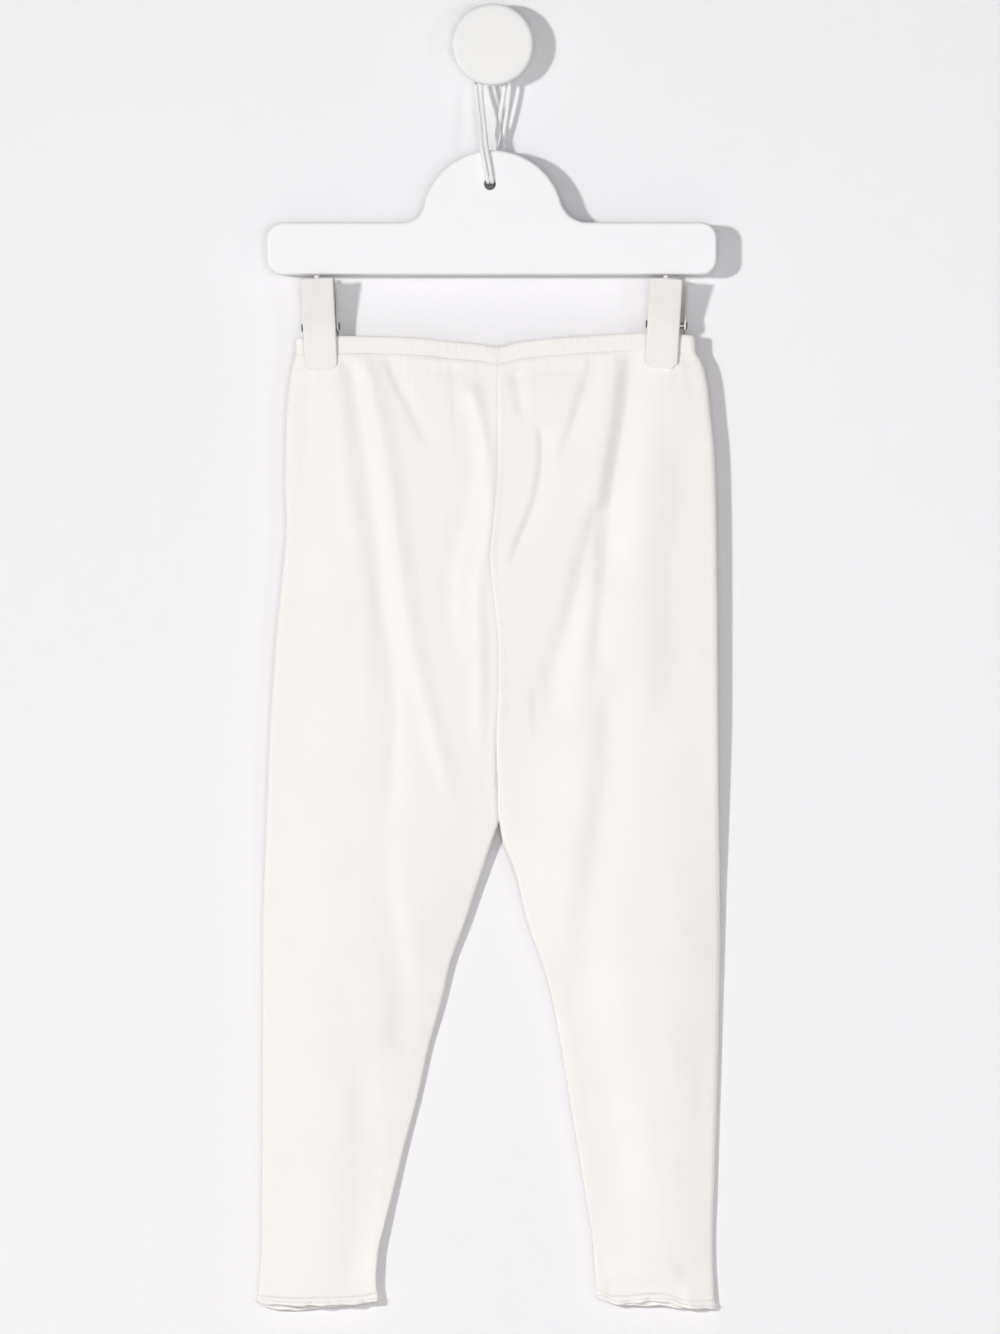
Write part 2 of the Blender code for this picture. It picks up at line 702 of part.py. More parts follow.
def hem_line(z, x, y):
    """Height of a leg's lower edge, which hangs lower behind than in front."""
    behind = (y - smooth_table(MIDDLE, z)) / (2 * smooth_table(HALF_AT_FOLD, z)) + 0.5
    return smooth_table(HEM_LINE, x) - smooth_table(BACK_DROP, x) * ease(behind)


def waist_line(x):
    """Height of the waist's top edge."""
    return smooth_table(WAIST_TOP, x)


def make_leg(side):
    """One leg panel: open at the centre seams above the crotch, closed at the inseam below it."""
    start = -174.6
    end = -702.0
    rows = [(start + (CROTCH - start) * k / ROWS_ABOVE, k / ROWS_ABOVE, None)
            for k in range(ROWS_ABOVE)]
    rows += [(CROTCH + (end - CROTCH) * k / ROWS_BELOW, None, k / ROWS_BELOW)
             for k in range(ROWS_BELOW + 1)]
    outer = []
    inner = []
    for z, above, below in rows:
        closed = above is None
        closing = 1.0 if closed else ease((CROTCH + CLOSING_LENGTH - z) / CLOSING_LENGTH)
        flat = section(side, z, closing)
        inside = flat + WALL * inwards(side, flat, closed)
        heights = []
        for x, y in flat:
            if above is not None:
                top = waist_line(x) - CASING_HEIGHT - GAP
                heights.append(top + (CROTCH - top) * above)
            else:
                heights.append(CROTCH + (hem_line(z, x, y) - CROTCH) * below)
        outer.append([(x, y, h) for (x, y), h in zip(flat, heights)])
        inner.append([(x, y, h) for (x, y), h in zip(inside, heights)])
    columns = len(outer[0])
    first_closed = ROWS_ABOVE
    points = []
    index = {}
    for layer, rows_of in (("out", outer), ("in", inner)):
        for i, row in enumerate(rows_of):
            for k, place in enumerate(row):
                if i >= first_closed and k == columns - 1:
                    index[layer, i, k] = index[layer, i, 0]
                    continue
                index[layer, i, k] = len(points)
                points.append(place)
    faces = []
    last = len(outer) - 1
    for i in range(last):
        for k in range(columns - 1):
            faces.append(tuple(index["out", a, b] for a, b in
                               ((i, k), (i + 1, k), (i + 1, k + 1), (i, k + 1))))
            faces.append(tuple(index["in", a, b] for a, b in
                               ((i, k), (i, k + 1), (i + 1, k + 1), (i + 1, k))))
    for k in range(columns - 1):
        faces.append((index["out", 0, k], index["out", 0, k + 1],
                      index["in", 0, k + 1], index["in", 0, k]))
        faces.append((index["out", last, k + 1], index["out", last, k],
                      index["in", last, k], index["in", last, k + 1]))
    for i in range(first_closed):
        for k, turn in ((0, 1), (columns - 1, -1)):
            face = (index["out", i, k], index["in", i, k],
                    index["in", i + 1, k], index["out", i + 1, k])
            faces.append(face[::turn])
    add_solid("leg_" + side, points, faces, "jersey")


def casing_path(side):
    """Outer face of half the casing in the (across, depth) plane, in even steps."""
    way = SIDES[side]
    z = -165.0
    inner = inner_edge(side, z, True)
    outer = outer_edge(side, z)
    half = smooth_table(HALF_AT_FOLD, z)
    middle = smooth_table(MIDDLE, z)
    turns = [math.radians(a) for a in range(-90, 91, 30)]
    points = [(inner, middle - half)]
    points += [(outer - way * half * (1 - math.cos(a)), middle + half * math.sin(a)) for a in turns]
    points.append((inner, middle + half))
    points = np.array(points)
    along = np.concatenate([[0], np.cumsum(np.linalg.norm(np.diff(points, axis=0), axis=1))])
    places = np.linspace(0, along[-1], 2 * CASING_GATHERS + 1)
    even = np.stack([np.interp(places, along, points[:, k]) for k in (0, 1)], axis=1)
    return even


def make_casing(side):
    """Half the waist casing: a thick band with small gathers, open at the centre seams."""
    path = casing_path(side)
    into = inwards(side, path, False)
    rings = []
    for k, (place, inward) in enumerate(zip(path, into)):
        gather = CASING_GATHER_DEPTH * (1 if k % 2 else -1)
        gather *= 1 if 0 < k < len(path) - 1 else 0
        top = waist_line(place[0])
        profile = (
            # (into the wall, below the top edge)
            (gather, CASING_HEIGHT),
            (gather, 0.9),
            (0.7, 0.1 - 0.5 * gather),
            (CASING_WALL - 0.7, 0.1 - 0.5 * gather),
            (CASING_WALL, 0.9),
            (CASING_WALL, CASING_HEIGHT),
        )
        ring = []
        for deep, down in profile:
            x, y = place + inward * deep
            ring.append((x, y, top - down))
        rings.append(ring)
    swept("waist_casing_" + side, rings, "casing jersey")


def make_hem(side):
    """The hem edging of one leg: a closed band that flares and waves a little."""
    z = -703.0
    flat = section(side, z, 1.0)
    along = np.concatenate([[0], np.cumsum(np.linalg.norm(np.diff(flat, axis=0), axis=1))])
    places = np.linspace(0, along[-1], HEM_COLUMNS + 1)
    path = np.stack([np.interp(places, along, flat[:, k]) for k in (0, 1)], axis=1)
    into = inwards(side, path, True)
    rings = []
    for k in range(HEM_COLUMNS):
        wave = math.sin(2 * math.pi * (HEM_WAVES[side] * k / HEM_COLUMNS + 0.2))
        room = min(ease(abs(path[k][0] - e) / 14.0)
                   for e in (outer_edge(side, z), inner_edge(side, z, True)))
        sway = HEM_WAVE * wave * room
        top = hem_line(z, *path[k]) - GAP
        drop = HEM_HEIGHT + 0.35 * wave
        profile = (
            # (into the wall, below the leg's edge)
            (-0.1, 0.0),
            (-0.3 - 0.4 * (HEM_FLARE + sway), 0.45 * drop),
            (-0.2 - HEM_FLARE * room - sway, drop - 0.4),
            (0.6 - HEM_FLARE * room - sway, drop),
            (1.3 - HEM_FLARE * room - sway, drop - 0.4),
            (1.3 - 0.4 * (HEM_FLARE + sway), 0.45 * drop),
            (HEM_WALL - 0.3, 0.0),
        )
        ring = []
        for deep, down in profile:
            x, y = path[k] + into[k] * deep
            ring.append((x, y, top - down))
        rings.append(ring)
    swept("hem_" + side, rings, "hem thread", closed=True)


def main():
    clear_scene()
    make_peg()
    hanger = add_frame("hanger_frame", (HOLE_CENTRE[0], 0.0, HOLE_CENTRE[1]), 0.0, None)
    make_board(hanger)
    make_cord()
    for side in SIDES:
        make_clip(side, hanger)
        make_leg(side)
        make_casing(side)
        make_hem(side)


main()
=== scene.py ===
# %% [markdown]
# # Child's jersey leggings on a clip hanger
#
# The leggings hang from two sprung clips under a small painted hanger, and the hanger
# hangs by a doubled elastic cord from a round peg in a wall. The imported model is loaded
# first, as a fixed frame. Everything below is built around it, in metres, with +Z up and
# the wall at y = 0. Tables are in millimetres, which are easier to read for clothes.

import json
import math

import bpy
import numpy as np
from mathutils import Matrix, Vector

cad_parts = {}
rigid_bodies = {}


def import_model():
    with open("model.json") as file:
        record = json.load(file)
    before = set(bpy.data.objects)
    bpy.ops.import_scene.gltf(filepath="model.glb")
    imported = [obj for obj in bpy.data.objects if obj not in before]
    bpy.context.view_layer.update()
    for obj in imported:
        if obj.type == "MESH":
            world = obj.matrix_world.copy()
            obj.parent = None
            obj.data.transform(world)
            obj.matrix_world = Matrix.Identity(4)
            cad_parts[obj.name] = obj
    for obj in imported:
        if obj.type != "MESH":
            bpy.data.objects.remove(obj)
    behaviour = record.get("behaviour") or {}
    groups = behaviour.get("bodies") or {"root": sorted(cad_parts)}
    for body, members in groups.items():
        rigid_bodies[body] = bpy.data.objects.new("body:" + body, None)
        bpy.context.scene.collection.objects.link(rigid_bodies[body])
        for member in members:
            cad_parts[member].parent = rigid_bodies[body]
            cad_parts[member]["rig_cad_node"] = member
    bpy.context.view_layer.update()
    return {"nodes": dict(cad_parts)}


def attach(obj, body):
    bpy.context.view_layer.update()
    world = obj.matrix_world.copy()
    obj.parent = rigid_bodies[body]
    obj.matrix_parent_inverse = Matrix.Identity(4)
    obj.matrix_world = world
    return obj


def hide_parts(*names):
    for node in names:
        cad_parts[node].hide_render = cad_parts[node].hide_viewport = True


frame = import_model()
MM = 0.001
SIDES = {"left": -1, "right": 1}
print("nodes in the frame:", len(frame["nodes"]))

# %% [markdown]
# ## Tools for tables and meshes
#
# Cloth outlines are measured at uneven heights, so a smooth curve is drawn through each
# table. A monotone cubic is used because, unlike a plain spline, it never swings past the
# measured values, and an edge stays where it was measured.

# %% Smooth tables
def smooth_table(table, at):
    """Values at many places from rows of (place, value), by cubics that never overshoot."""
    rows = np.array(sorted(table), float)
    places, values = rows[:, 0], rows[:, 1]
    at = np.clip(at, places[0], places[-1])
    slopes = np.diff(values) / np.diff(places)
    tangents = np.zeros(len(rows))
    tangents[0], tangents[-1] = slopes[0], slopes[-1]
    before, after = slopes[:-1], slopes[1:]
    same_way = before * after > 0
    total = np.where(same_way, before + after, 1.0)
    tangents[1:-1] = np.where(same_way, 2 * before * after / total, 0.0)
    k = np.clip(np.searchsorted(places, at, side="right") - 1, 0, len(rows) - 2)
    width = places[k + 1] - places[k]
    t = (at - places[k]) / width
    return (
        values[k] * (1 + 2 * t) * (1 - t) ** 2
        + values[k + 1] * t * t * (3 - 2 * t)
        + tangents[k] * width * t * (1 - t) ** 2
        - tangents[k + 1] * width * t * t * (1 - t)
    )


def ease(t):
    """Smooth step from 0 to 1."""
    t = np.clip(t, 0.0, 1.0)
    return t * t * (3 - 2 * t)


# %% Directions and distances
def unit(vectors):
    """Rows of vectors, each scaled to length one."""
    return vectors / np.linalg.norm(vectors, axis=-1, keepdims=True)


def lengths_along(points):
    """Distance along a row of points, from its first one."""
    return np.concatenate([[0], np.cumsum(np.linalg.norm(np.diff(points, axis=0), axis=1))])


def rows_at(places, along, rows):
    """Rows of values at chosen places, drawn straight between those that are known."""
    columns = range(rows.shape[1])
    return np.stack([np.interp(places, along, rows[:, k]) for k in columns], axis=1)


# %% Meshes from points and faces
def link_object(name, data):
    """A new object in the scene."""
    made = bpy.data.objects.new(name, data)
    bpy.context.scene.collection.objects.link(made)
    return made


def add_piece(name, points, faces, finish, uv=None):
    """A smooth-shaded mesh object from points in millimetres, with one UV pair for each point."""
    mesh = bpy.data.meshes.new(name)
    mesh.from_pydata((np.asarray(points, float) * MM).tolist(), [], faces)
    mesh.materials.append(finish)
    mesh.shade_smooth()
    if uv is not None:
        layer = mesh.uv_layers.new(name="cloth")
        corners = np.zeros(len(mesh.loops), int)
        mesh.loops.foreach_get("vertex_index", corners)
        layer.data.foreach_set("uv", np.asarray(uv, float)[corners].ravel())
    return link_object(name, mesh)


def grid_faces(rows, columns, closed=False, turn=False):
    """Four-sided faces of a grid of points, closed across its columns where asked."""
    faces = []
    for i in range(rows - 1):
        for k in range(columns if closed else columns - 1):
            m = (k + 1) % columns
            face = (i * columns + k, i * columns + m, (i + 1) * columns + m, (i + 1) * columns + k)
            faces.append(face[::-1] if turn else face)
    return faces


def end_caps(rings, around):
    """The faces that close a tube at its first and last rings."""
    last = (rings - 1) * around
    return [tuple(range(around))[::-1], tuple(range(last, last + around))]


def face_out(piece):
    """Turn a closed mesh so that its faces point out, by the sign of its volume."""
    mesh = piece.data
    mesh.calc_loop_triangles()
    volume = 0.0
    for triangle in mesh.loop_triangles:
        a, b, c = (mesh.vertices[v].co for v in triangle.vertices)
        volume += a.dot(b.cross(c))
    if volume < 0:
        mesh.flip_normals()
    return piece


def settle(piece):
    """Apply every modifier on a piece, as the viewport shows it."""
    graph = bpy.context.evaluated_depsgraph_get()
    made = bpy.data.meshes.new_from_object(piece.evaluated_get(graph))
    piece.modifiers.clear()
    old = piece.data
    piece.data = made
    bpy.data.meshes.remove(old)
    return piece


# %% [markdown]
# ## Camera
#
# The photograph was taken square on, with a long lens from 4.6 metres: objects and their
# shadows agree best at that distance. The lens follows from the scale, as 1334 pixels of
# 0.56 mm stand for the height of the view at the wall.

# %% Camera at the photograph's place
PIXEL = 0.56
PHOTO_HEIGHT = 1334
VIEW_DISTANCE = 4630.0
VIEW_ACROSS = 4.0
VIEW_HEIGHT = -347.3
SENSOR = 36.0

camera_data = bpy.data.cameras.new("photo camera")
camera_data.sensor_fit = "VERTICAL"
camera_data.sensor_height = SENSOR
camera_data.lens = SENSOR * VIEW_DISTANCE / (PHOTO_HEIGHT * PIXEL)
camera = link_object("photo camera", camera_data)
camera.location = (VIEW_ACROSS * MM, -VIEW_DISTANCE * MM, VIEW_HEIGHT * MM)
camera.rotation_euler = (math.radians(90), 0, 0)
bpy.context.scene.camera = camera
bpy.context.scene.view_settings.view_transform = "Standard"
print("lens:", round(camera_data.lens, 1), "mm")

# %% [markdown]
# ## Tools for materials
#
# Each finish is a Principled shader with its own small node tree. One helper makes the
# shader and sets the values that are the same all over, straight on its sockets. Others
# add the parts that vary: slow colour changes, and bumps from a pattern.

# %% Material helpers
def new_finish(name, colour, roughness, **values):
    """A material with a Principled shader; further values go to its sockets by name."""
    material = bpy.data.materials.new(name)
    material.use_nodes = True
    shader = material.node_tree.nodes["Principled BSDF"]
    shader.inputs["Base Color"].default_value = (*colour, 1.0)
    shader.inputs["Roughness"].default_value = roughness
    for socket, value in values.items():
        shader.inputs[socket.replace("_", " ")].default_value = value
    return material


def add_node(material, kind, **values):
    """A node in a material's tree; values are its sockets by name, or its own settings."""
    node = material.node_tree.nodes.new(kind)
    for key, value in values.items():
        if hasattr(node, key):
            setattr(node, key, value)
        else:
            node.inputs[key.replace("_", " ")].default_value = value
    return node


def wire(material, start, end):
    """Link two sockets."""
    material.node_tree.links.new(start, end)


def maths(material, operation, first, second=None):
    """A Math node on sockets or plain numbers, giving its result socket."""
    node = add_node(material, "ShaderNodeMath", operation=operation)
    for socket, value in zip(node.inputs, (first, second)):
        if value is None:
            continue
        if isinstance(value, (int, float)):
            socket.default_value = value
        else:
            wire(material, value, socket)
    return node.outputs[0]


def noise(material, scale, detail=2.0, stretch=(1, 1, 1), roughness=0.5):
    """Noise on object coordinates, in features of about 1 / scale metres."""
    coordinates = add_node(material, "ShaderNodeTexCoord")
    mapping = add_node(material, "ShaderNodeMapping")
    mapping.inputs["Scale"].default_value = stretch
    wire(material, coordinates.outputs["Object"], mapping.inputs["Vector"])
    made = add_node(material, "ShaderNodeTexNoise", Scale=scale, Detail=detail,
                    Roughness=roughness)
    wire(material, mapping.outputs["Vector"], made.inputs["Vector"])
    return made.outputs["Fac"]


def vary_colour(material, by, dark, light, low=0.35, high=0.65):
    """Base colour that runs from dark to light as a value goes from low to high."""
    ramp = add_node(material, "ShaderNodeValToRGB")
    ramp.color_ramp.elements[0].position = low
    ramp.color_ramp.elements[0].color = (*dark, 1.0)
    ramp.color_ramp.elements[1].position = high
    ramp.color_ramp.elements[1].color = (*light, 1.0)
    wire(material, by, ramp.inputs["Fac"])
    shader = material.node_tree.nodes["Principled BSDF"]
    wire(material, ramp.outputs["Color"], shader.inputs["Base Color"])


def add_bump(material, height, depth, strength=1.0):
    """A bump of a real depth in metres, on top of any bump that is there already."""
    shader = material.node_tree.nodes["Principled BSDF"]
    bump = add_node(material, "ShaderNodeBump", Strength=strength, Distance=depth)
    wire(material, height, bump.inputs["Height"])
    below = shader.inputs["Normal"].links
    if below:
        wire(material, below[0].from_socket, bump.inputs["Normal"])
    wire(material, bump.outputs["Normal"], shader.inputs["Normal"])


# %% [markdown]
# ## Jersey
#
# Cotton jersey is a weft knit. Its face shows columns of small V stitches, about twelve
# to the centimetre, under a short nap. At this scale one stitch is little more than a
# pixel, so the knit is a bump drawn from the cloth's own UV map, which counts stitches
# along and across each panel. It follows every fold because the map does.

# %% The jersey finish
WALE = 0.85
COURSE = 0.65
CLOTH_LIGHT = (0.912, 0.885, 0.866)
CLOTH_DARK = (0.900, 0.872, 0.852)


def knit_height(material):
    """Height of a knit's face: two slanted legs to each wale, humped along each course."""
    uv = add_node(material, "ShaderNodeUVMap", uv_map="cloth")
    parts = add_node(material, "ShaderNodeSeparateXYZ")
    wire(material, uv.outputs["UV"], parts.inputs["Vector"])
    side = maths(material, "PINGPONG", parts.outputs["X"], 0.5)
    off_leg = maths(material, "ABSOLUTE", maths(material, "SUBTRACT", side, 0.25))
    leg = maths(material, "SUBTRACT", 1.0, maths(material, "MULTIPLY", off_leg, 4.0))
    phase = maths(material, "ADD", parts.outputs["Y"], maths(material, "MULTIPLY", side, 1.3))
    hump = maths(material, "SINE", maths(material, "MULTIPLY", phase, 2 * math.pi))
    hump = maths(material, "ADD", maths(material, "MULTIPLY", hump, 0.28), 0.72)
    return maths(material, "MULTIPLY", leg, hump)


def jersey_finish(name, light, dark):
    """Matt cotton knit: slow shifts of tone, fine nap, and the knit's own relief."""
    material = new_finish(name, light, 0.95, Specular_IOR_Level=0.12, Sheen_Weight=0.12,
                          Sheen_Roughness=0.6)
    vary_colour(material, noise(material, 28, 3), dark, light)
    add_bump(material, noise(material, 150, 3), 0.00012)
    add_bump(material, noise(material, 1400, 2), 0.00005, 0.7)
    add_bump(material, knit_height(material), 0.00009, 0.55)
    return material


jersey = jersey_finish("jersey", CLOTH_LIGHT, CLOTH_DARK)
print("jersey:", len(jersey.node_tree.nodes), "nodes")

# %% [markdown]
# ## Paint, enamel, cord and steel
#
# The board and the peg are painted wood: satin, with the faint ripple that a brush or a
# roller leaves. The clips are enamelled steel, a little greyer and glossier. The cord is
# elastic with a braided cover, drawn as two sets of slanting threads on its UV map.

# %% Hard finishes
def paint_finish(name, light, dark, roughness, stretch):
    """Satin paint on wood, with soft ripples along one direction and fine stipple."""
    material = new_finish(name, light, roughness, Specular_IOR_Level=0.35, Coat_Weight=0.08,
                          Coat_Roughness=0.25)
    vary_colour(material, noise(material, 14, 2, stretch), dark, light)
    add_bump(material, noise(material, 60, 3, stretch), 0.00010, 0.8)
    add_bump(material, noise(material, 900, 2), 0.00002, 0.6)
    return material


def enamel_finish():
    """Stoved enamel on pressed steel: smooth, slightly wavy, warm grey-white."""
    material = new_finish("clip enamel", (0.80, 0.785, 0.762), 0.38, Specular_IOR_Level=0.45)
    vary_colour(material, noise(material, 40, 2), (0.792, 0.776, 0.752), (0.812, 0.796, 0.772))
    add_bump(material, noise(material, 220, 2), 0.00003, 0.8)
    return material


def steel_finish(name, light, dark, roughness):
    """Drawn steel wire and pins, with slow shifts of tone and a very fine even bump."""
    material = new_finish(name, light, roughness, Metallic=1.0)
    vary_colour(material, noise(material, 300, 3), dark, light)
    add_bump(material, noise(material, 2500, 2), 0.00001, 0.6)
    return material


def braid_finish():
    """White braided cover: two sets of threads crossing on the cord's UV map."""
    material = new_finish("cord braid", (0.84, 0.84, 0.85), 0.85, Specular_IOR_Level=0.15,
                          Sheen_Weight=0.15)
    vary_colour(material, noise(material, 700, 2), (0.82, 0.82, 0.83), (0.86, 0.86, 0.87))
    uv = add_node(material, "ShaderNodeUVMap", uv_map="cloth")
    parts = add_node(material, "ShaderNodeSeparateXYZ")
    wire(material, uv.outputs["UV"], parts.inputs["Vector"])
    threads = []
    for way in ("ADD", "SUBTRACT"):
        phase = maths(material, way, parts.outputs["X"], parts.outputs["Y"])
        threads.append(maths(material, "SINE", maths(material, "MULTIPLY", phase, 2 * math.pi)))
    add_bump(material, maths(material, "MAXIMUM", *threads), 0.00003, 0.25)
    return material


board_paint = paint_finish("board paint", (0.885, 0.875, 0.90), (0.872, 0.862, 0.887), 0.42,
                           (0.25, 1, 1))
peg_paint = paint_finish("peg paint", (0.84, 0.835, 0.83), (0.828, 0.822, 0.816), 0.5, (1, 1, 1))
enamel = enamel_finish()
pin_steel = steel_finish("pin steel", (0.62, 0.61, 0.60), (0.42, 0.41, 0.40), 0.32)
spring_steel = steel_finish("spring steel", (0.16, 0.155, 0.15), (0.08, 0.078, 0.075), 0.4)
braid = braid_finish()
thread = jersey_finish("sewing thread", (0.915, 0.89, 0.868), (0.895, 0.868, 0.845))
print("finishes:", len(bpy.data.materials))

# %% [markdown]
# ## Peg
#
# A turned peg: a short stem and a flat disc with a softened rim. On a lathe it is one
# profile turned round an axis, so here a fine profile is turned round Y.

# %% Turn the peg
PEG_STEM_RADIUS = 7.5
PEG_DISC_RADIUS = 22.75
PEG_DISC_BACK = 13.6
PEG_FRONT = 21.6
PEG_RIM = 2.1
PEG_SEGMENTS = 128


def quarter(centre, radius, start, end, steps):
    """Points of an arc in a profile's plane, angles in degrees."""
    angles = np.radians(np.linspace(start, end, steps + 1))
    return [(centre[0] + radius * math.cos(a), centre[1] + radius * math.sin(a)) for a in angles]


def turned(name, profile, segments, finish):
    """A closed solid turned round the Y axis from (radius, distance from the wall) points."""
    rings = [[(r * math.cos(a), -d, r * math.sin(a))
              for a in np.linspace(0, 2 * math.pi, segments, endpoint=False)] for r, d in profile]
    points = [p for ring in rings for p in ring]
    points += [(0, -profile[0][1], 0), (0, -profile[-1][1], 0)]
    faces = grid_faces(len(rings), segments, closed=True)
    for row, centre in ((0, len(points) - 2), (len(rings) - 1, len(points) - 1)):
        for k in range(segments):
            m = (k + 1) % segments
            faces.append((row * segments + m, row * segments + k, centre) if row == 0 else
                         (row * segments + k, row * segments + m, centre))
    return face_out(add_piece(name, points, faces, finish))


peg_profile = [(PEG_STEM_RADIUS, 0.0), (PEG_STEM_RADIUS, 0.5 * PEG_DISC_BACK)]
peg_profile += [(PEG_STEM_RADIUS, PEG_DISC_BACK - 0.3), (PEG_STEM_RADIUS + 0.3, PEG_DISC_BACK)]
peg_profile += quarter((PEG_DISC_RADIUS - 1.6, PEG_DISC_BACK + 1.6), 1.6, -90, 0, 5)
peg_profile += quarter((PEG_DISC_RADIUS - PEG_RIM, PEG_FRONT - PEG_RIM), PEG_RIM, 0, 90, 8)
peg_profile += [(0.6 * PEG_DISC_RADIUS, PEG_FRONT)]
peg = turned("peg_turned", peg_profile, PEG_SEGMENTS, peg_paint)
print("peg:", len(peg.data.polygons), "faces")

# %% [markdown]
# ## Hanger board
#
# The hanger is a flat bar with a round dome above its middle, cut from one board, its
# edges rounded and the whole painted. Its outline is made of arcs, small fillets where the
# dome meets the bar, and it is lifted through a rounded edge on both faces. The hole for
# the cord is cut with an exact Boolean.

# %% Cut and round the board
BOARD_FRONT = -22.5
BOARD_BACK = -5.5
BOARD_LEFT = -125.9
BOARD_RIGHT = 124.9
BOARD_TOP = -99.4
BOARD_BOTTOM = -128.5
BOARD_CORNER = 9.0
BOARD_ROUNDING = 1.5
DOME_CENTRE = (0.0, -98.6)
DOME_RADIUS = 39.4
DOME_FILLET = {"left": 11.5, "right": 15.5}
HOLE_CENTRE = (-1.6, -78.2)
HOLE_RADIUS = 3.3


def board_outline():
    """The outline in (across, height), anticlockwise from the lower left corner."""
    r = BOARD_CORNER
    outline = quarter((BOARD_LEFT + r, BOARD_BOTTOM + r), r, 180, 270, 14)
    outline += quarter((BOARD_RIGHT - r, BOARD_BOTTOM + r), r, 270, 360, 14)
    outline += quarter((BOARD_RIGHT - r, BOARD_TOP - r), r, 0, 90, 14)
    blends = {}
    for side, way in SIDES.items():
        fillet = DOME_FILLET[side]
        rise = BOARD_TOP + fillet - DOME_CENTRE[1]
        reach = math.sqrt((DOME_RADIUS + fillet) ** 2 - rise**2)
        centre = (DOME_CENTRE[0] + way * reach, BOARD_TOP + fillet)
        blends[side] = (centre, fillet, math.degrees(math.atan2(rise, reach)))
    centre, fillet, lean = blends["right"]
    outline += quarter(centre, fillet, 270, 180 + lean, 16)
    outline += quarter(DOME_CENTRE, DOME_RADIUS, lean, 180 - blends["left"][2], 80)[1:]
    centre, fillet, lean = blends["left"]
    outline += quarter(centre, fillet, -lean, -90, 16)[1:]
    outline += quarter((BOARD_LEFT + r, BOARD_TOP - r), r, 90, 180, 14)
    return np.array(outline)


def inset(outline, by):
    """The outline moved inwards by a small distance."""
    ahead = np.roll(outline, -1, axis=0) - outline
    length = np.linalg.norm(ahead, axis=1)[:, None]
    ahead = ahead / np.where(length > 0, length, 1)
    behind = np.roll(ahead, 1, axis=0)
    normal = np.stack([ahead[:, 1] + behind[:, 1], -ahead[:, 0] - behind[:, 0]], axis=1)
    return outline - normal * by / np.linalg.norm(normal, axis=1)[:, None]


def board_solid():
    """The board's rings, front face to back face, with rounded edges."""
    outline = board_outline()
    keep = np.linalg.norm(np.roll(outline, -1, axis=0) - outline, axis=1) > 0.01
    outline = outline[keep]
    rings = []
    angles = np.radians(np.linspace(0, 90, 9))
    for face, way, turns in ((BOARD_FRONT, 1, angles), (BOARD_BACK, -1, angles[::-1])):
        for a in turns:
            y = face + way * BOARD_ROUNDING * (1 - math.cos(a))
            edge = inset(outline, BOARD_ROUNDING * (1 - math.sin(a)))
            rings.append([(x, y, z) for x, z in edge])
    around = len(outline)
    points = [p for ring in rings for p in ring]
    faces = grid_faces(len(rings), around, closed=True)
    faces += [cap[::-1] for cap in end_caps(len(rings), around)]
    return add_piece("hanger_board_painted", points, faces, board_paint)


def cut_hole(board):
    """Cut the cord's hole, with its edge eased by a wider shallow cone on the front."""
    profile = [
        # (radius, distance from the wall)
        (HOLE_RADIUS, -BOARD_BACK - 3), (HOLE_RADIUS, -BOARD_FRONT - 0.2),
        (HOLE_RADIUS + 0.2, -BOARD_FRONT), (HOLE_RADIUS + 2.5, -BOARD_FRONT + 2.3),
    ]
    cutter = turned("hole", profile, 64, board_paint)
    cutter.data.transform(cutter.matrix_world.Translation(
        Vector((HOLE_CENTRE[0] * MM, 0, HOLE_CENTRE[1] * MM))))
    modifier = board.modifiers.new("hole", "BOOLEAN")
    modifier.operation = "DIFFERENCE"
    modifier.solver = "EXACT"
    modifier.object = cutter
    settle(board)
    bpy.data.objects.remove(cutter)
    board.data.set_sharp_from_angle(angle=math.radians(35))


hanger = face_out(board_solid())
cut_hole(hanger)
print("board:", len(hanger.data.polygons), "faces")

# %% [markdown]
# ## Cord
#
# One round elastic cord goes twice over the peg and through the hole. Each turn is a
# closed route with chosen points, smoothed by a Catmull-Rom curve and swept with a round
# section that is carried along without twisting.

# %% Lay the cord
CORD_RADIUS = 1.2
CORD_GAP = 0.3
CORD_ON_PEG = PEG_STEM_RADIUS + CORD_RADIUS + 0.4
CORD_FRONT = BOARD_FRONT - CORD_RADIUS - CORD_GAP
CORD_BACK = BOARD_BACK + CORD_RADIUS + CORD_GAP
CORD_IN_HOLE = HOLE_CENTRE[1] + 1.45
CORD_LEAVES_PEG = -8.0
CORD_HEIGHTS = (-22.4, -31.0, -45.0, -59.5)
CORD_TURNS = {
    # name: (y on peg, x in hole, x in front going down, x behind going down)
    "back": (-8.6, -2.7, (-9.5, -8.8, -7.3, -5.9), (6.6, 5.3, 3.1, 0.9)),
    "front": (-11.6, -0.4, (-6.9, -6.2, -4.7, -3.3), (9.4, 8.7, 6.8, 4.4)),
}
BRAID_STITCH = 0.9
BRAID_STRANDS = 8


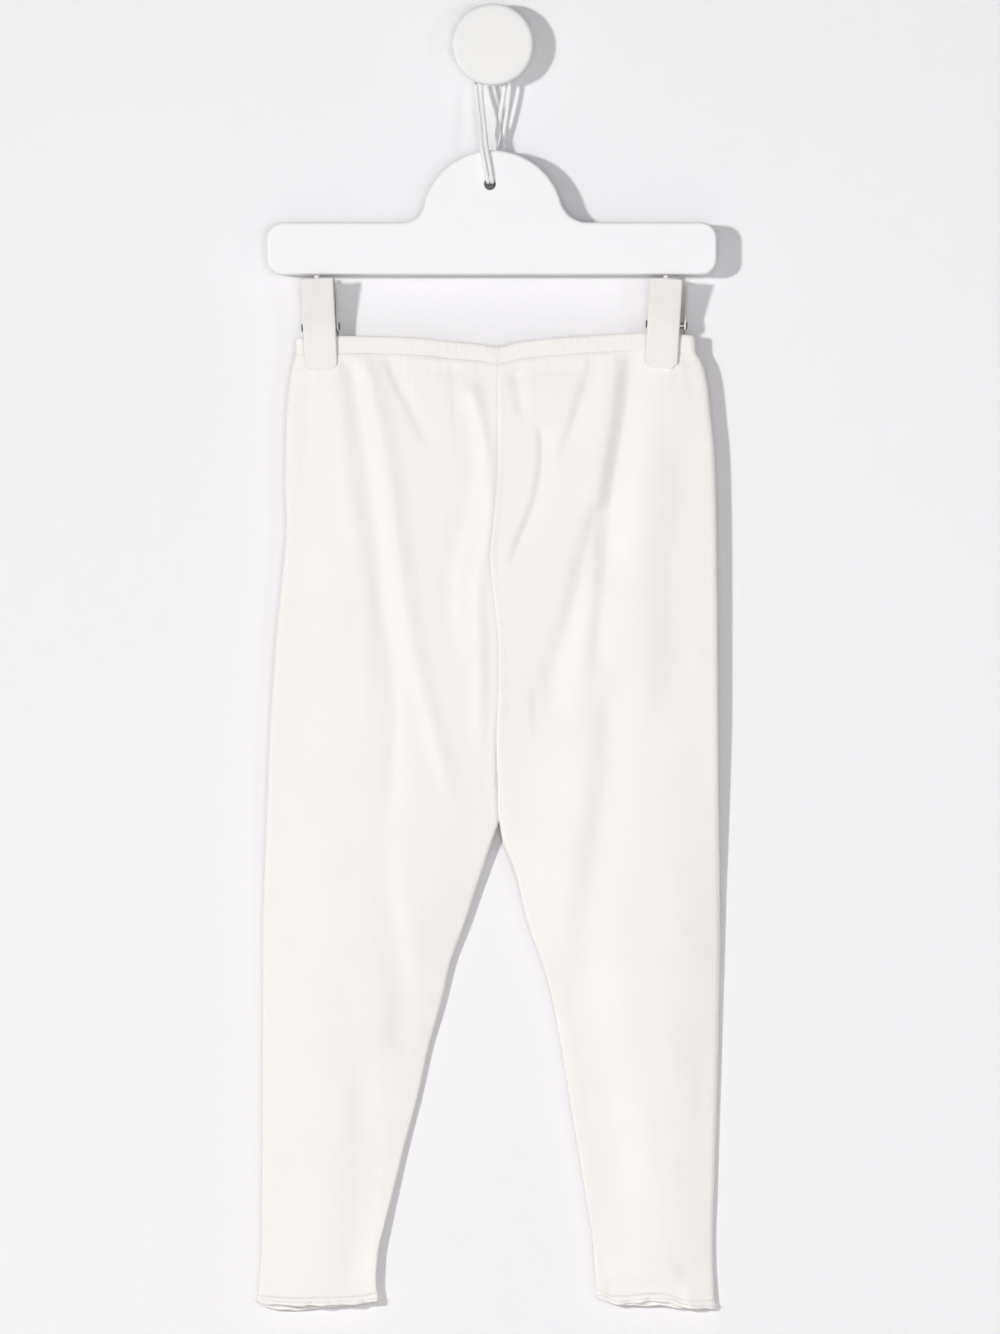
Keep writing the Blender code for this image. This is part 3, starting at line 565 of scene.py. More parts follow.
def cord_path(y_on_peg, x_in_hole, in_front, behind):
    """Control points of one turn: down in front, through the hole, up behind, over the peg."""
    run = CORD_LEAVES_PEG - CORD_HEIGHTS[-1]
    points = []
    for x, z in zip(in_front, CORD_HEIGHTS):
        points.append((x, y_on_peg + (CORD_FRONT - y_on_peg) * (CORD_LEAVES_PEG - z) / run, z))
    x = x_in_hole
    spread = 1.4 if x < HOLE_CENTRE[0] else 1.0
    points += [
        (x - 0.8 * spread, CORD_FRONT, -71.0),
        (x - 0.4 * spread, CORD_FRONT, -74.4),
        (x, CORD_FRONT + 0.5, -76.1),
        (x, BOARD_FRONT + 0.8, CORD_IN_HOLE),
        (x, 0.5 * (BOARD_FRONT + BOARD_BACK), CORD_IN_HOLE),
        (x, BOARD_BACK - 0.8, CORD_IN_HOLE),
        (x, CORD_BACK - 0.5, -76.1),
        (x + 0.2, CORD_BACK, -74.4),
        (x + 0.5, CORD_BACK, -71.0),
    ]
    for x, z in reversed(list(zip(behind, CORD_HEIGHTS))):
        share = ((CORD_LEAVES_PEG - z) / run) ** 2
        points.append((x, y_on_peg + (CORD_BACK - y_on_peg) * share, z))
    for degrees in range(-20, 201, 22):
        a = math.radians(degrees)
        points.append((CORD_ON_PEG * math.cos(a), y_on_peg, CORD_ON_PEG * math.sin(a)))
    return np.array(points)


def closed_curve(points, steps):
    """A Catmull-Rom curve through a closed row of points."""
    t = np.arange(steps)[:, None] / steps
    pieces = []
    for i in range(len(points)):
        a, b, c, d = (points[(i + k) % len(points)] for k in (-1, 0, 1, 2))
        pieces.append(0.5 * (2 * b + (c - a) * t + (2 * a - 5 * b + 4 * c - d) * t**2
                             + (3 * b - a - 3 * c + d) * t**3))
    return np.concatenate(pieces)


def carried_frames(path):
    """Tangent and normal at each point of a closed path, the normal carried without twist."""
    tangent = unit(np.roll(path, -1, axis=0) - np.roll(path, 1, axis=0))
    normals = [np.cross(tangent[0], (0.0, 1.0, 0.0))]
    for t in list(tangent[1:]) + [tangent[0]]:
        normals.append(unit(normals[-1] - t * np.dot(normals[-1], t)))
    normals[0] = unit(normals[0])
    last, first = normals.pop(), normals[0]
    turn = math.atan2(float(np.dot(np.cross(first, last), tangent[0])), float(np.dot(first, last)))
    return tangent, np.array(normals), turn


def cord_turn(name, path, sides=16):
    """A round braided cord along a closed path; its UV map counts threads."""
    tangent, normal, turn = carried_frames(path)
    count = len(path)
    step = np.linalg.norm(np.roll(path, -1, axis=0) - path, axis=1)
    along = np.concatenate([[0], np.cumsum(step)]) / BRAID_STITCH
    points, uv = [], []
    for i in range(count + 1):
        j = i % count
        across = np.cross(tangent[j], normal[j])
        for k in range(sides + 1):
            a = 2 * math.pi * k / sides - turn * i / count
            points.append(path[j] + CORD_RADIUS * (math.cos(a) * normal[j] + math.sin(a) * across))
            uv.append((BRAID_STRANDS * k / sides, along[i]))
    piece = add_piece(name, points, grid_faces(count + 1, sides + 1), braid, uv)
    weld = piece.modifiers.new("close the seams", "WELD")
    weld.merge_threshold = 0.00001
    return face_out(settle(piece))


cords = {}
for name, (y_on_peg, x_in_hole, in_front, behind) in CORD_TURNS.items():
    path = closed_curve(cord_path(y_on_peg, x_in_hole, in_front, behind), 10)
    cords[name] = cord_turn("cord_" + name, path)

# %% [markdown]
# ## Clips
#
# Each clip is two channels pressed from sheet steel, splayed above the pin and closed on
# the cloth below it, with a pin through their side flanges, a coil spring round the pin
# and a tongue that a short stem holds under the board. A channel is one bent sheet, so it
# is made as a single surface across its width and down its length, and then given the
# sheet's thickness.

# %% Press the clips
CLIP_TOP = {"left": (-98.1, -131.2), "right": (96.6, -131.4)}
CLIP_TILT = {"left": 2.8, "right": -3.0}
CLIP_LENGTH = {"left": 50.6, "right": 49.3}
CLIP_PIVOT_DOWN = {"left": 26.4, "right": 24.8}
CLIP_PLATES = {
    # plate: (way out, gap to the middle at the top)
    "front": (1, 13.6),
    "rear": (-1, 10.4),
}
CLIP_EDGES = {
    # (plate, side): its left and right edges, from the clip's centre line
    ("front", "left"): (-9.2, 9.2), ("rear", "left"): (-8.1, 10.6),
    ("front", "right"): (-9.1, 9.1), ("rear", "right"): (-8.0, 12.4),
}
CLIP_SHEET = 0.9
CLIP_CHAMFER = 3.0
CLIP_HALF_PIVOT = 5.4
CLIP_HALF_JAW = 3.8
CLIP_MIDDLE = -13.5
CLIP_BEND = 1.0
FLANGE_TOP = 2.2
FLANGE_PAST_PIN = 2.6
FLANGE_BELOW_PIN = 3.6
PIN_RADIUS = 1.5


def clip_place(side, across, down, forward):
    """A point of a clip in the room: across it, down from its top, forward of its middle."""
    x, z = CLIP_TOP[side]
    a = math.radians(CLIP_TILT[side])
    return (x + across * math.cos(a) + down * math.sin(a), CLIP_MIDDLE - forward,
            z + across * math.sin(a) - down * math.cos(a))


def plate_gap(side, plate, down):
    """Distance of a plate's inner face from the clip's middle."""
    pivot = CLIP_PIVOT_DOWN[side]
    top = CLIP_PLATES[plate][1]
    rows = ((0, top), (0.45 * pivot, 0.5 * (top + CLIP_HALF_PIVOT)), (pivot, CLIP_HALF_PIVOT),
            (0.5 * (pivot + CLIP_LENGTH[side]), 4.4), (CLIP_LENGTH[side], CLIP_HALF_JAW))
    return float(smooth_table(rows, down))


def flange_depth(side, plate, down):
    """How far a side flange stands back from its plate."""
    pivot = CLIP_PIVOT_DOWN[side]
    at_pin = CLIP_HALF_PIVOT + CLIP_SHEET + FLANGE_PAST_PIN
    return float(np.interp(down, (0, 2, pivot - 3.4, pivot + 2.2, pivot + FLANGE_BELOW_PIN + 0.6),
                           (FLANGE_TOP, FLANGE_TOP, at_pin, at_pin, CLIP_BEND)))


def clip_plate(side, plate):
    """One pressed channel: flange, rounded corner, face, rounded corner and flange."""
    way = CLIP_PLATES[plate][0]
    left, right = CLIP_EDGES[plate, side]
    width, shift = right - left, (left + right) / 2
    length = CLIP_LENGTH[side]
    points = []
    stations = np.concatenate([np.linspace(0, length - CLIP_CHAMFER, 44),
                               np.linspace(length - CLIP_CHAMFER, length, 6)[1:]])
    for v in stations:
        cut = max(0.0, v - (length - CLIP_CHAMFER))
        half = width / 2 - cut
        outer = plate_gap(side, plate, v) + CLIP_SHEET
        depth = flange_depth(side, plate, v)
        bend = [(half - CLIP_BEND + x, y) for x, y in quarter((0, 0), CLIP_BEND, 90, 0, 5)]
        profile = [(u, outer - CLIP_BEND + w) for u, w in bend]
        profile += [(half, outer - CLIP_BEND - s * (depth - CLIP_BEND)) for s in (0.2, 0.5, 0.8, 1)]
        faces_of = [(-u, w) for u, w in profile[::-1]]
        faces_of += [(s * (half - CLIP_BEND), outer) for s in (-0.6, -0.2, 0.2, 0.6)]
        for u, w in faces_of + profile:
            points.append(clip_place(side, u + shift, v, way * w))
    across = len(points) // len(stations)
    piece = add_piece(f"clip_{plate}_plate_{side}", points,
                      grid_faces(len(stations), across, turn=way < 0), enamel)
    sheet = piece.modifiers.new("sheet", "SOLIDIFY")
    sheet.thickness = CLIP_SHEET * MM
    sheet.offset = 1.0
    settle(piece)
    piece.data.set_sharp_from_angle(angle=math.radians(40))
    return face_out(piece)


for side in SIDES:
    for plate in CLIP_PLATES:
        clip_plate(side, plate)


# %% Pins and springs
# (distance past the end, share of the radius)
BAR_DOME = ((0.0, 1.0), (0.25, 0.92), (0.42, 0.72), (0.5, 0.4))


def round_bar(name, path, radius, sides, finish):
    """A round bar or wire along an open path, with rounded ends."""
    path = np.array(path, float)
    tangent = unit(np.gradient(path, axis=0))
    normal = np.cross(tangent[0], (0.0, 0.0, 1.0))
    if np.linalg.norm(normal) < 0.1:
        normal = np.cross(tangent[0], (1.0, 0.0, 0.0))
    centres, radii, frames = [], [], []
    ends = {0: -1, len(path) - 1: 1}
    for i, (p, t) in enumerate(zip(path, tangent)):
        normal = unit(normal - t * np.dot(normal, t))
        steps = [(0.0, 1.0)]
        if i in ends:
            steps = [(ends[i] * out, share) for out, share in BAR_DOME[::ends[i]]]
        for out, share in steps:
            centres.append(p + t * out * radius)
            radii.append(radius * share)
            frames.append((normal, np.cross(t, normal)))
    points = []
    for centre, r, (n, b) in zip(centres, radii, frames):
        for a in np.linspace(0, 2 * math.pi, sides, endpoint=False):
            points.append(centre + r * (math.cos(a) * n + math.sin(a) * b))
    faces = grid_faces(len(centres), sides, closed=True)
    faces += end_caps(len(centres), sides)
    return face_out(add_piece(name, points, faces, finish))


RIVET_RADIUS = 2.3
RIVET_THICKNESS = 0.6
RIVET_SEGMENTS = 40


def rivet(name, inner, outer):
    """A flat round head with a hollow in its middle, pressed onto a pin's end."""
    inner, outer = np.array(inner), np.array(outer)
    axis = unit(outer - inner)
    normal = unit(np.cross(axis, (0.0, 0.0, 1.0)))
    other = np.cross(axis, normal)
    profile = [(1.0, 0.0), (1.0, 0.35), (0.94, 0.75), (0.8, 0.95), (0.6, 1.0), (0.35, 0.8),
               (0.15, 0.72)]
    points = []
    for share, out in profile:
        centre = inner + out * (outer - inner)
        for a in np.linspace(0, 2 * math.pi, RIVET_SEGMENTS, endpoint=False):
            radius = RIVET_RADIUS * share
            points.append(centre + radius * (math.cos(a) * normal + math.sin(a) * other))
    faces = grid_faces(len(profile), RIVET_SEGMENTS, closed=True)
    faces += end_caps(len(profile), RIVET_SEGMENTS)
    return face_out(add_piece(name, points, faces, spring_steel))


SPRING_RADIUS = 2.6
SPRING_WIRE = 0.45
SPRING_TURNS = 4
SPRING_ARM = 9.0
SPRING_START = 3.9
SPRING_WIDTH = 3.6
STEM_RADIUS = 1.6
STEM_DOWN = (-3.5, -1.0, 1.5, 4.0)
PIN_PAST = 0.2
RIVET_SEAT = 0.05

for side in SIDES:
    stem = [clip_place(side, 0.0, down, 0.0) for down in STEM_DOWN]
    round_bar("clip_stem_" + side, stem, STEM_RADIUS, 20, enamel)
    pivot = CLIP_PIVOT_DOWN[side]
    left = CLIP_EDGES["front", side][0] - PIN_PAST
    right = CLIP_EDGES["rear", side][1] + PIN_PAST
    ends = [clip_place(side, u, pivot, 0.0) for u in np.linspace(left, right, 5)]
    round_bar("clip_steel_pin_" + side, ends, PIN_RADIUS, 24, pin_steel)
    for hand, u, way in (("left", left, -1), ("right", right, 1)):
        inner = clip_place(side, u + RIVET_SEAT * way, pivot, 0.0)
        outer = clip_place(side, u + (RIVET_SEAT + RIVET_THICKNESS) * way, pivot, 0.0)
        rivet(f"clip_rivet_{side}_{hand}", inner, outer)
    for hand, way in SIDES.items():
        route = []
        lean = math.radians(60)
        turns = lean + np.linspace(0, 2 * math.pi * SPRING_TURNS + lean, 90)
        for k, a in enumerate(turns):
            u = way * (SPRING_START + SPRING_WIDTH * k / (len(turns) - 1))
            route.append((u, -SPRING_RADIUS * math.sin(a), SPRING_RADIUS * math.cos(a)))
        arms = []
        for end, ahead in ((0, -1), (-1, 1)):
            u, v, w = route[end]
            a = turns[end]
            direction = (-math.cos(a) * ahead, -math.sin(a) * ahead)
            arms.append([(u, v + s * SPRING_ARM * direction[0], w + s * SPRING_ARM * direction[1])
                         for s in (0.1, 0.3, 0.5)])
        route = arms[0][::-1] + route + arms[1]
        route = [clip_place(side, u, pivot + v, w) for u, v, w in route]
        round_bar(f"clip_spring_{side}_{hand}", route, SPRING_WIRE, 8, spring_steel)
print("pins and springs made")

# %% [markdown]
# ## Cloth outline
#
# The outline of each leg was measured down the photograph. The centre front seam wanders
# a little, the waist's top edge sags between the clips, and the back of each hem hangs
# lower than its front. The cloth's middle plane leans back to the wall towards the hems.

# %% Measured outline, rows of (height, distance across) or (distance across, height)
CROTCH = -433.4
LEG_START = -174.6
LEG_END = -702.0
LEFT_EDGE = (
    (-164, -110.2), (-176, -111.0), (-189, -113.6), (-211, -115.5), (-244, -116.1),
    (-272, -115.4), (-299, -118.0), (-342, -122.0), (-390, -125.0), (-433, -126.6),
    (-480, -128.4), (-589, -129.0), (-653, -129.2), (-680, -129.8), (-708, -132.0),
)
RIGHT_EDGE = (
    (-164, 113.1), (-176, 114.4), (-180, 117.0), (-192, 120.0), (-212, 122.2),
    (-229, 123.9), (-272, 125.2), (-412, 126.4), (-496, 127.3), (-558, 126.5),
    (-597, 125.3), (-636, 124.2), (-670, 123.2), (-708, 124.4),
)
LEFT_INSEAM = (
    (-433.4, 3.5), (-446, -0.5), (-471.5, -8.8), (-493, -15.8), (-513, -23.0),
    (-537, -28.6), (-560, -35.1), (-589, -41.5), (-617, -48.9), (-646, -56.0),
    (-664, -60.5), (-679, -64.0), (-695, -65.0), (-708, -63.2),
)
RIGHT_INSEAM = (
    (-433.4, 3.5), (-445, 5.4), (-457, 10.2), (-468, 13.6), (-491, 19.0),
    (-513, 27.0), (-535, 33.0), (-558, 37.4), (-585, 41.8), (-606, 45.0),
    (-625, 48.3), (-650, 52.2), (-670, 55.4), (-692, 57.2), (-708, 59.4),
)
FRONT_SEAM = (
    (-160, 2.9), (-227, 2.9), (-267, 0.3), (-283, -1.4), (-317, 1.8),
    (-334, 3.4), (-356, 3.4), (-390, 2.0), (-433.4, 3.5),
)
BACK_SEAM = ((-160, 3.0), (-433.4, 3.5))
WAIST_TOP = (
    (-112, -164.3), (-84, -163.1), (-45, -164.0), (-23, -166.2), (-6, -167.8),
    (2.4, -169.2), (16, -166.2), (39, -163.9), (62, -162.4), (86, -161.4), (116, -163.2),
)
HEM_LINE = (
    (-131.5, -699.7), (-119, -700.7), (-110, -701.1), (-87, -700.7), (-72, -699.8),
    (-65, -698.4), (58, -696.8), (65, -699.2), (68, -700.3), (79, -699.8), (85, -698.8),
    (96, -698.9), (101, -700.2), (106, -702.0), (116, -703.0), (124, -702.4),
)
BACK_DROP = (
    (-131.5, 0.4), (-119, 3.0), (-106, 2.7), (-92, 1.5), (-65, 0.4),
    (58, 0.2), (74, 0.6), (84, 2.5), (99, 2.4), (108, 0.6), (124, 0.2),
)
MIDDLE = ((-160, -13.5), (-367, -11.6), (-479, -8.4), (-591, -6.4), (-710, -5.6))
HALF_AT_FOLD = ((-160, 3.0), (-250, 2.9), (-433, 2.4), (-600, 1.7), (-710, 1.7))
HALF_BETWEEN = (
    (-160, 3.0), (-176, 3.4), (-205, 5.6), (-300, 6.6), (-433, 5.9),
    (-550, 4.8), (-650, 4.3), (-710, 4.1),
)
PULL_BACK = {
    # how far a fold lies nearer the wall than the cloth beside it, by height
    "outer left": ((-400, 0.0), (-500, 0.6), (-600, 0.8), (-702, 0.4)),
    "outer right": ((-380, 0.6), (-433, 2.2), (-479, 4.1), (-535, 4.8), (-591, 4.3), (-647, 3.9),
                    (-681, 3.6), (-702, 2.4)),
    "inner left": ((-433, 1.0), (-457, 3.0), (-496, 3.4), (-563, 3.6), (-619, 2.6), (-660, 0.4),
                   (-680, -1.3), (-702, -2.0)),
    "inner right": ((-433, 1.0), (-457, 1.0), (-496, 0.8), (-563, 0.5), (-702, -0.3)),
}
PULL_REACH = 30.0
DEPTH_RISE = 42.0
WALL_CLEAR = -0.4
HEM_LIFT = 0.6
CLOSING_LENGTH = 75.0
CASING_HEIGHT = 10.0
WAIST_RISE = 0.8

# %% [markdown]
# ## Creases
#
# Each crease is placed along the line it takes in the photograph. It has a height,
# out for a ridge and in for a hollow, and a width for each flank, because a crease that is
# pulled from one side is steep there and soft on the other. The deepest fold is sharp at
# its bottom. Each grows from nothing at its top and fades out below. The back gets the same
# creases turned about and shallower, as the wall is close behind it.

# %% Creases along their lines
CREASES = (
    # (points down its line), left half width, right half width, height, top fade, bottom fade
    # the first long ridge, from the left clip to the crotch
    (((-72.1, -177), (-63.7, -212), (-57.6, -244), (-53.1, -284), (-45.8, -331), (-39.6, -359),
      (-31.2, -390), (-22.8, -423)), 5, 6.5, 1.8, 10, 45),
    # the hollow beside it
    (((-78.8, -180), (-73.8, -212), (-69.9, -241), (-64.3, -279), (-59.8, -320), (-55.9, -345),
      (-54.8, -390), (-58.7, -440)), 6, 5, -1.6, 12, 60),
    # a soft ridge to its left
    (((-87.8, -181), (-83.9, -216), (-82.8, -244), (-75.5, -281), (-71, -317), (-71, -345),
      (-73.2, -390)), 6, 6, 0.8, 20, 60),
    # a pinch under the band
    (((-58.7, -176), (-52, -194), (-47.5, -202), (-35.2, -227)), 2.8, 6, -1.1, 6, 25),
    # a short crease
    (((-23.4, -172), (-21.7, -193), (-21.2, -216)), 1.8, 3, -0.45, 4, 20),
    # the ridge beside the centre seam, and the hollow beside that
    (((-12.8, -188), (-5.5, -216), (-2, -239), (-2, -255), (-5, -283), (-8.2, -306),
      (-7.5, -339), (-7, -367), (-6, -401)), 4, 4.5, 1.3, 10, 60),
    (((-17, -197), (-12.5, -222), (-12, -244), (-17.5, -269), (-23.8, -297), (-23.8, -317),
      (-19.4, -345)), 6.5, 5, -1.3, 12, 40),
    # right of the seam
    (((12.8, -180), (14.7, -194), (17.5, -209)), 3.5, 4, -1.1, 4, 12),
    (((27, -214), (28.2, -230), (24, -255), (16, -275), (10.5, -289)), 2.8, 8, -1.7, 10, 20),
    (((32, -320), (33, -360), (33, -400), (30, -440)), 22, 15, -2.0, 40, 30),
    # from the right clip
    (((57.2, -178), (50.5, -199), (43.8, -219), (37.6, -235)), 3.6, 8, -1.6, 6, 20),
    # the deepest fold: cloth standing out on its left drops into it steeply
    (((79.4, -174), (76.4, -191), (72.8, -216), (67.8, -244), (64.6, -267), (62.8, -304)),
     5.4, 11.0, -4.6, 5, 25),
    (((71.5, -178), (68, -191), (64, -216), (59.6, -244), (56.6, -267), (55.5, -292)),
     9.0, 5.0, 1.4, 10, 25),
    # its two branches
    (((60, -258), (53, -284), (46.6, -311), (39.6, -334), (33.4, -356), (32.2, -378)),
     6.0, 8, -2.6, 12, 20),
    (((64.6, -276), (62.8, -300), (60.6, -323), (57.6, -356)), 5.5, 8, -2.4, 14, 24),
    # the long hollow down the right leg
    (((66.8, -356), (65.1, -401), (58.9, -446), (53.3, -502), (51.1, -535), (55.6, -569),
      (64.5, -619), (67.9, -647)), 8.5, 12, -2.9, 30, 40),
    # small creases at the crotch
    (((23.1, -361), (25.3, -387)), 2.4, 5, -0.9, 6, 10),
    (((9.1, -365), (9.6, -380)), 2, 3.5, -0.5, 5, 8),
    # right hip
    (((106, -219), (103.2, -267), (100.9, -289), (100.9, -334), (95.3, -381)), 9, 10, -0.8, 25, 30),
    (((82.4, -267), (83, -311), (81.3, -367)), 9, 10, 0.9, 40, 50),
    (((85.8, -177), (86.9, -193)), 1.8, 3, -0.5, 4, 10),
    # by the left edge, and down the left leg to its hem
    (((-105.7, -180), (-105.2, -214), (-105.7, -250)), 2.5, 4, -0.6, 8, 20),
    (((-62, -440), (-53.1, -513), (-50.3, -535), (-52, -569)), 8, 7, -1.7, 30, 30),
    (((-74.4, -563), (-71, -625), (-72.1, -673), (-73.2, -698)), 9, 8, -1.9, 40, 5),
    # by the right edge
    (((122.8, -530), (119.4, -603), (118.3, -625), (124.4, -670)), 6, 6, -0.4, 30, 20),
)
BACK_MIRROR = 4.0
# the back's share of the creases and of the dents, and the seed of its slow waves
BACK_SHARES = (0.45, 0.6, 6)


def crease_relief(x, z):
    """How far the cloth stands out at many places, from the table of creases."""
    total = np.zeros(np.broadcast(x, z).shape)
    for line, left, right, height, top_fade, bottom_fade in CREASES:
        middle = smooth_table([(down, across) for across, down in line], z)
        strength = ease((line[0][1] + 0.3 * top_fade - z) / top_fade)
        strength = strength * ease((z - line[-1][1] + 0.3 * bottom_fade) / bottom_fade)
        off = x - middle
        width = np.where(off < 0, left, right)
        power = np.where((off < 0) & (height < -3), 1.15, 2.0)
        total += height * strength * np.exp(-(np.abs(off / width) ** power))
    return total


def slow_waves(x, z, seed):
    """Small even unevenness of hanging cloth, a few wide waves of fixed phase."""
    chance = np.random.default_rng(seed)
    total = np.zeros(np.broadcast(x, z).shape)
    for _ in range(9):
        length = chance.uniform(22, 60)
        lean = chance.uniform(-0.45, 0.45)
        phase = chance.uniform(0, 2 * math.pi)
        total += np.sin(2 * math.pi * (x + lean * z) / length + phase)
    return 0.045 * total


def gathers(x, z, below):
    """Fine pleats that the casing's elastic draws up, fading below the band."""
    chance = np.random.default_rng(41)
    total = np.zeros(np.broadcast(x, z).shape)
    for _ in range(14):
        pitch = chance.uniform(4.0, 8.5)
        reach = chance.uniform(5.0, 17.0)
        lean = chance.uniform(-0.25, 0.25)
        phase = chance.uniform(0, 2 * math.pi)
        total += np.exp(-np.clip(below, 0, None) / reach) * np.sin(
            2 * math.pi * (x + lean * below) / pitch + phase)
    return 0.05 * total


# %% Presses where the cloth is sewn
LEG_TUCK = 0.9
PUFF = 1.1
PUFF_REACH = 7.0
SIDEWAYS = (
    # (from, to, height, half height, depth into the cloth)
    (62.0, 110.0, -703.0, 8.0, 3.8), (62.0, 108.0, -687.0, 6.0, -1.0),
    (6.0, 52.0, -184.5, 4.0, 0.7), (-42.0, -12.0, -182.0, 3.0, 0.4),
)


def band_pad(below):
    """The casing's turning, which ends a little under the stitches and makes the top thicker."""
    return 0.12 * ease((5.2 - below) / 2.0) - 0.7 * ease((1.0 - below) / 2.0)


def seam_press(off, z):
    """The centre seam's narrow groove, between two low pads of stitched cloth."""
    near = np.abs(off)
    groove = 0.09 * np.exp(-((near / 0.8) ** 2))
    pad = 0.07 * ease(near / 1.2) * ease((4.2 - near) / 1.4)
    return (groove - pad) * ease((z - CROTCH + 4.0) / 10.0)


def clip_puff(x, z):
    """The cloth squeezed out under each clip, so that its plates end in it."""
    total = np.zeros(np.broadcast(x, z).shape)
    for side in SIDES:
        top_x, top_z = CLIP_TOP[side]
        lean = math.radians(CLIP_TILT[side])
        across = (x - top_x) * math.cos(lean) + (z - top_z) * math.sin(lean)
        down = (x - top_x) * math.sin(lean) - (z - top_z) * math.cos(lean)
        beside = np.maximum(np.abs(across) - 9.4, 0.0)
        under = np.maximum(down - CLIP_LENGTH[side] - 0.2, 0.0)
        away = np.hypot(beside, under)
        total += PUFF * ease(under / 1.2) * np.exp(-((away / PUFF_REACH) ** 2))
    return total


def sideways_dents(x, z):
    """Short hollows and one low ridge that run across, above the right hem and by the band."""
    total = np.zeros(np.broadcast(x, z).shape)
    for start, stop, height, width, depth in SIDEWAYS:
        along = ease((x - start) / 8.0) * ease((stop - x) / 8.0)
        total -= depth * along * np.exp(-(((z - height) / width) ** 2))
    return total


# %% [markdown]
# ## Leg panels
#
# Each leg is one panel that starts at the centre front, runs round the outer fold and
# comes back to the centre behind. Below the crotch its edges meet at the inseam. The
# section is drawn as a fine loop at many heights, the creases push it in and out, and the
# sheet gets its own thickness inwards. A UV map runs with the cloth, counting stitches.

# %% Panel sections
CLOTH_THICKNESS = 1.0
FRONT_STEPS = 118
BACK_STEPS = 60
FOLD_STEPS = 6
OUTER_STEPS = 10
ROWS_ABOVE = 128
ROWS_BELOW = 118


def within(room, out):
    """A hollow eased off so that it never reaches through the room behind it."""
    return np.where(out > 0, out, -room * np.tanh(np.clip(-out, 0, None) / room))


def inner_edge(side, z, front):
    """Place across of a leg's inner edge: the seam above the crotch, the inseam below it."""
    seam = smooth_table(FRONT_SEAM if front else BACK_SEAM, z)
    inseam = smooth_table(LEFT_INSEAM if side == "left" else RIGHT_INSEAM, z)
    return np.where(z > CROTCH, seam, inseam)


def outer_edge(side, z):
    """Place across of a leg's outer fold."""
    return smooth_table(LEFT_EDGE if side == "left" else RIGHT_EDGE, z)


def waist_line(x):
    """Height of the waist's top edge."""
    return smooth_table(WAIST_TOP, x) + WAIST_RISE


def below_band(x, z):
    """Real distance under the casing on a panel's row, which follows the waist's line."""
    top = waist_line(x) - CASING_HEIGHT + LEG_TUCK
    share = np.clip((z - CROTCH) / (LEG_START - CROTCH), 0.0, 1.0)
    return top - LEG_TUCK - z - (top - LEG_START) * share


def edge_share(distance):
    """Share of the relief kept near a side fold."""
    return ease((distance - 3.0) / 11.0)


def half_depth(z, from_outer, from_inner, closing):
    """Half the cloth's depth, by distance from each fold and how far the crotch has closed."""
    fold = smooth_table(HALF_AT_FOLD, z)
    between = smooth_table(HALF_BETWEEN, z)
    rise = ease(from_outer / DEPTH_RISE)
    far = fold + (between - fold) * rise
    rounded = np.minimum(from_inner / fold, 1.0)
    near = fold * np.sqrt(np.clip(1 - (1 - rounded) ** 2, 0, None))
    near = near + (between - fold) * ease((from_inner - fold) / DEPTH_RISE) * rise
    eased = np.maximum(far + (near - far) * closing, CLOTH_THICKNESS + 0.18)
    return np.where(closing >= 1.0, near, eased)


def panel_section(side, z, closing):
    """Outer face of one panel at a height, from the centre front round to the centre back."""
    way = SIDES[side]
    fold = float(smooth_table(HALF_AT_FOLD, z))
    middle = float(smooth_table(MIDDLE, z))
    outer = float(outer_edge(side, z))
    pull_out = float(smooth_table(PULL_BACK["outer " + side], z))
    pull_in = float(smooth_table(PULL_BACK["inner " + side], z)) * closing
    angles = np.radians(np.linspace(0, 90, FOLD_STEPS + 1))
    halves = []
    for front, steps in ((True, FRONT_STEPS), (False, BACK_STEPS)):
        inner = float(inner_edge(side, z, front))
        width = abs(outer - inner)
        across = np.concatenate([fold * (1 - np.cos(angles)),
                                 np.linspace(fold, width - fold, steps + 1)[1:]])
        x = inner + way * across
        half = half_depth(z, width - across, across, closing)
        keep = edge_share(width - across)
        keep = keep * (1 - closing + closing * edge_share(across))
        room = np.maximum(half - CLOTH_THICKNESS - 0.2, 0.1)
        bed = middle + pull_out * np.clip(1 - (width - across) / PULL_REACH, 0, 1) ** 2
        bed = bed + pull_in * np.clip(1 - across / PULL_REACH, 0, 1) ** 2
        below = below_band(x, z)
        seen_x = x if front else BACK_MIRROR - x
        crease_share, dent_share, seed = (1.0, 1.0, 5) if front else BACK_SHARES
        out = keep * (crease_share * crease_relief(seen_x, z) + slow_waves(x, z, seed))
        out = (out + gathers(seen_x, z, below)) * ease((below + 1.0) / 5.0)
        out = out + band_pad(below) - seam_press(x - inner, z) + clip_puff(x, z)
        out = half + within(room, out + dent_share * sideways_dents(x, z))
        y = bed - out if front else np.minimum(bed + out, WALL_CLEAR)
        halves.append(np.stack([x, y], axis=1))
    turns = np.radians(np.linspace(-90, 90, OUTER_STEPS + 1))[1:-1]
    bend = np.stack([outer - way * fold * (1 - np.cos(turns)),
                     middle + pull_out + fold * np.sin(turns)], axis=1)
    return np.concatenate([halves[0], bend, halves[1][::-1]])


def hem_line(z, x, y):
    """Height of a leg's lower edge, which hangs lower behind than in front."""
    behind = (y - smooth_table(MIDDLE, z)) / (2 * smooth_table(HALF_AT_FOLD, z)) + 0.5
    return HEM_LIFT + smooth_table(HEM_LINE, x) - smooth_table(BACK_DROP, x) * ease(behind)


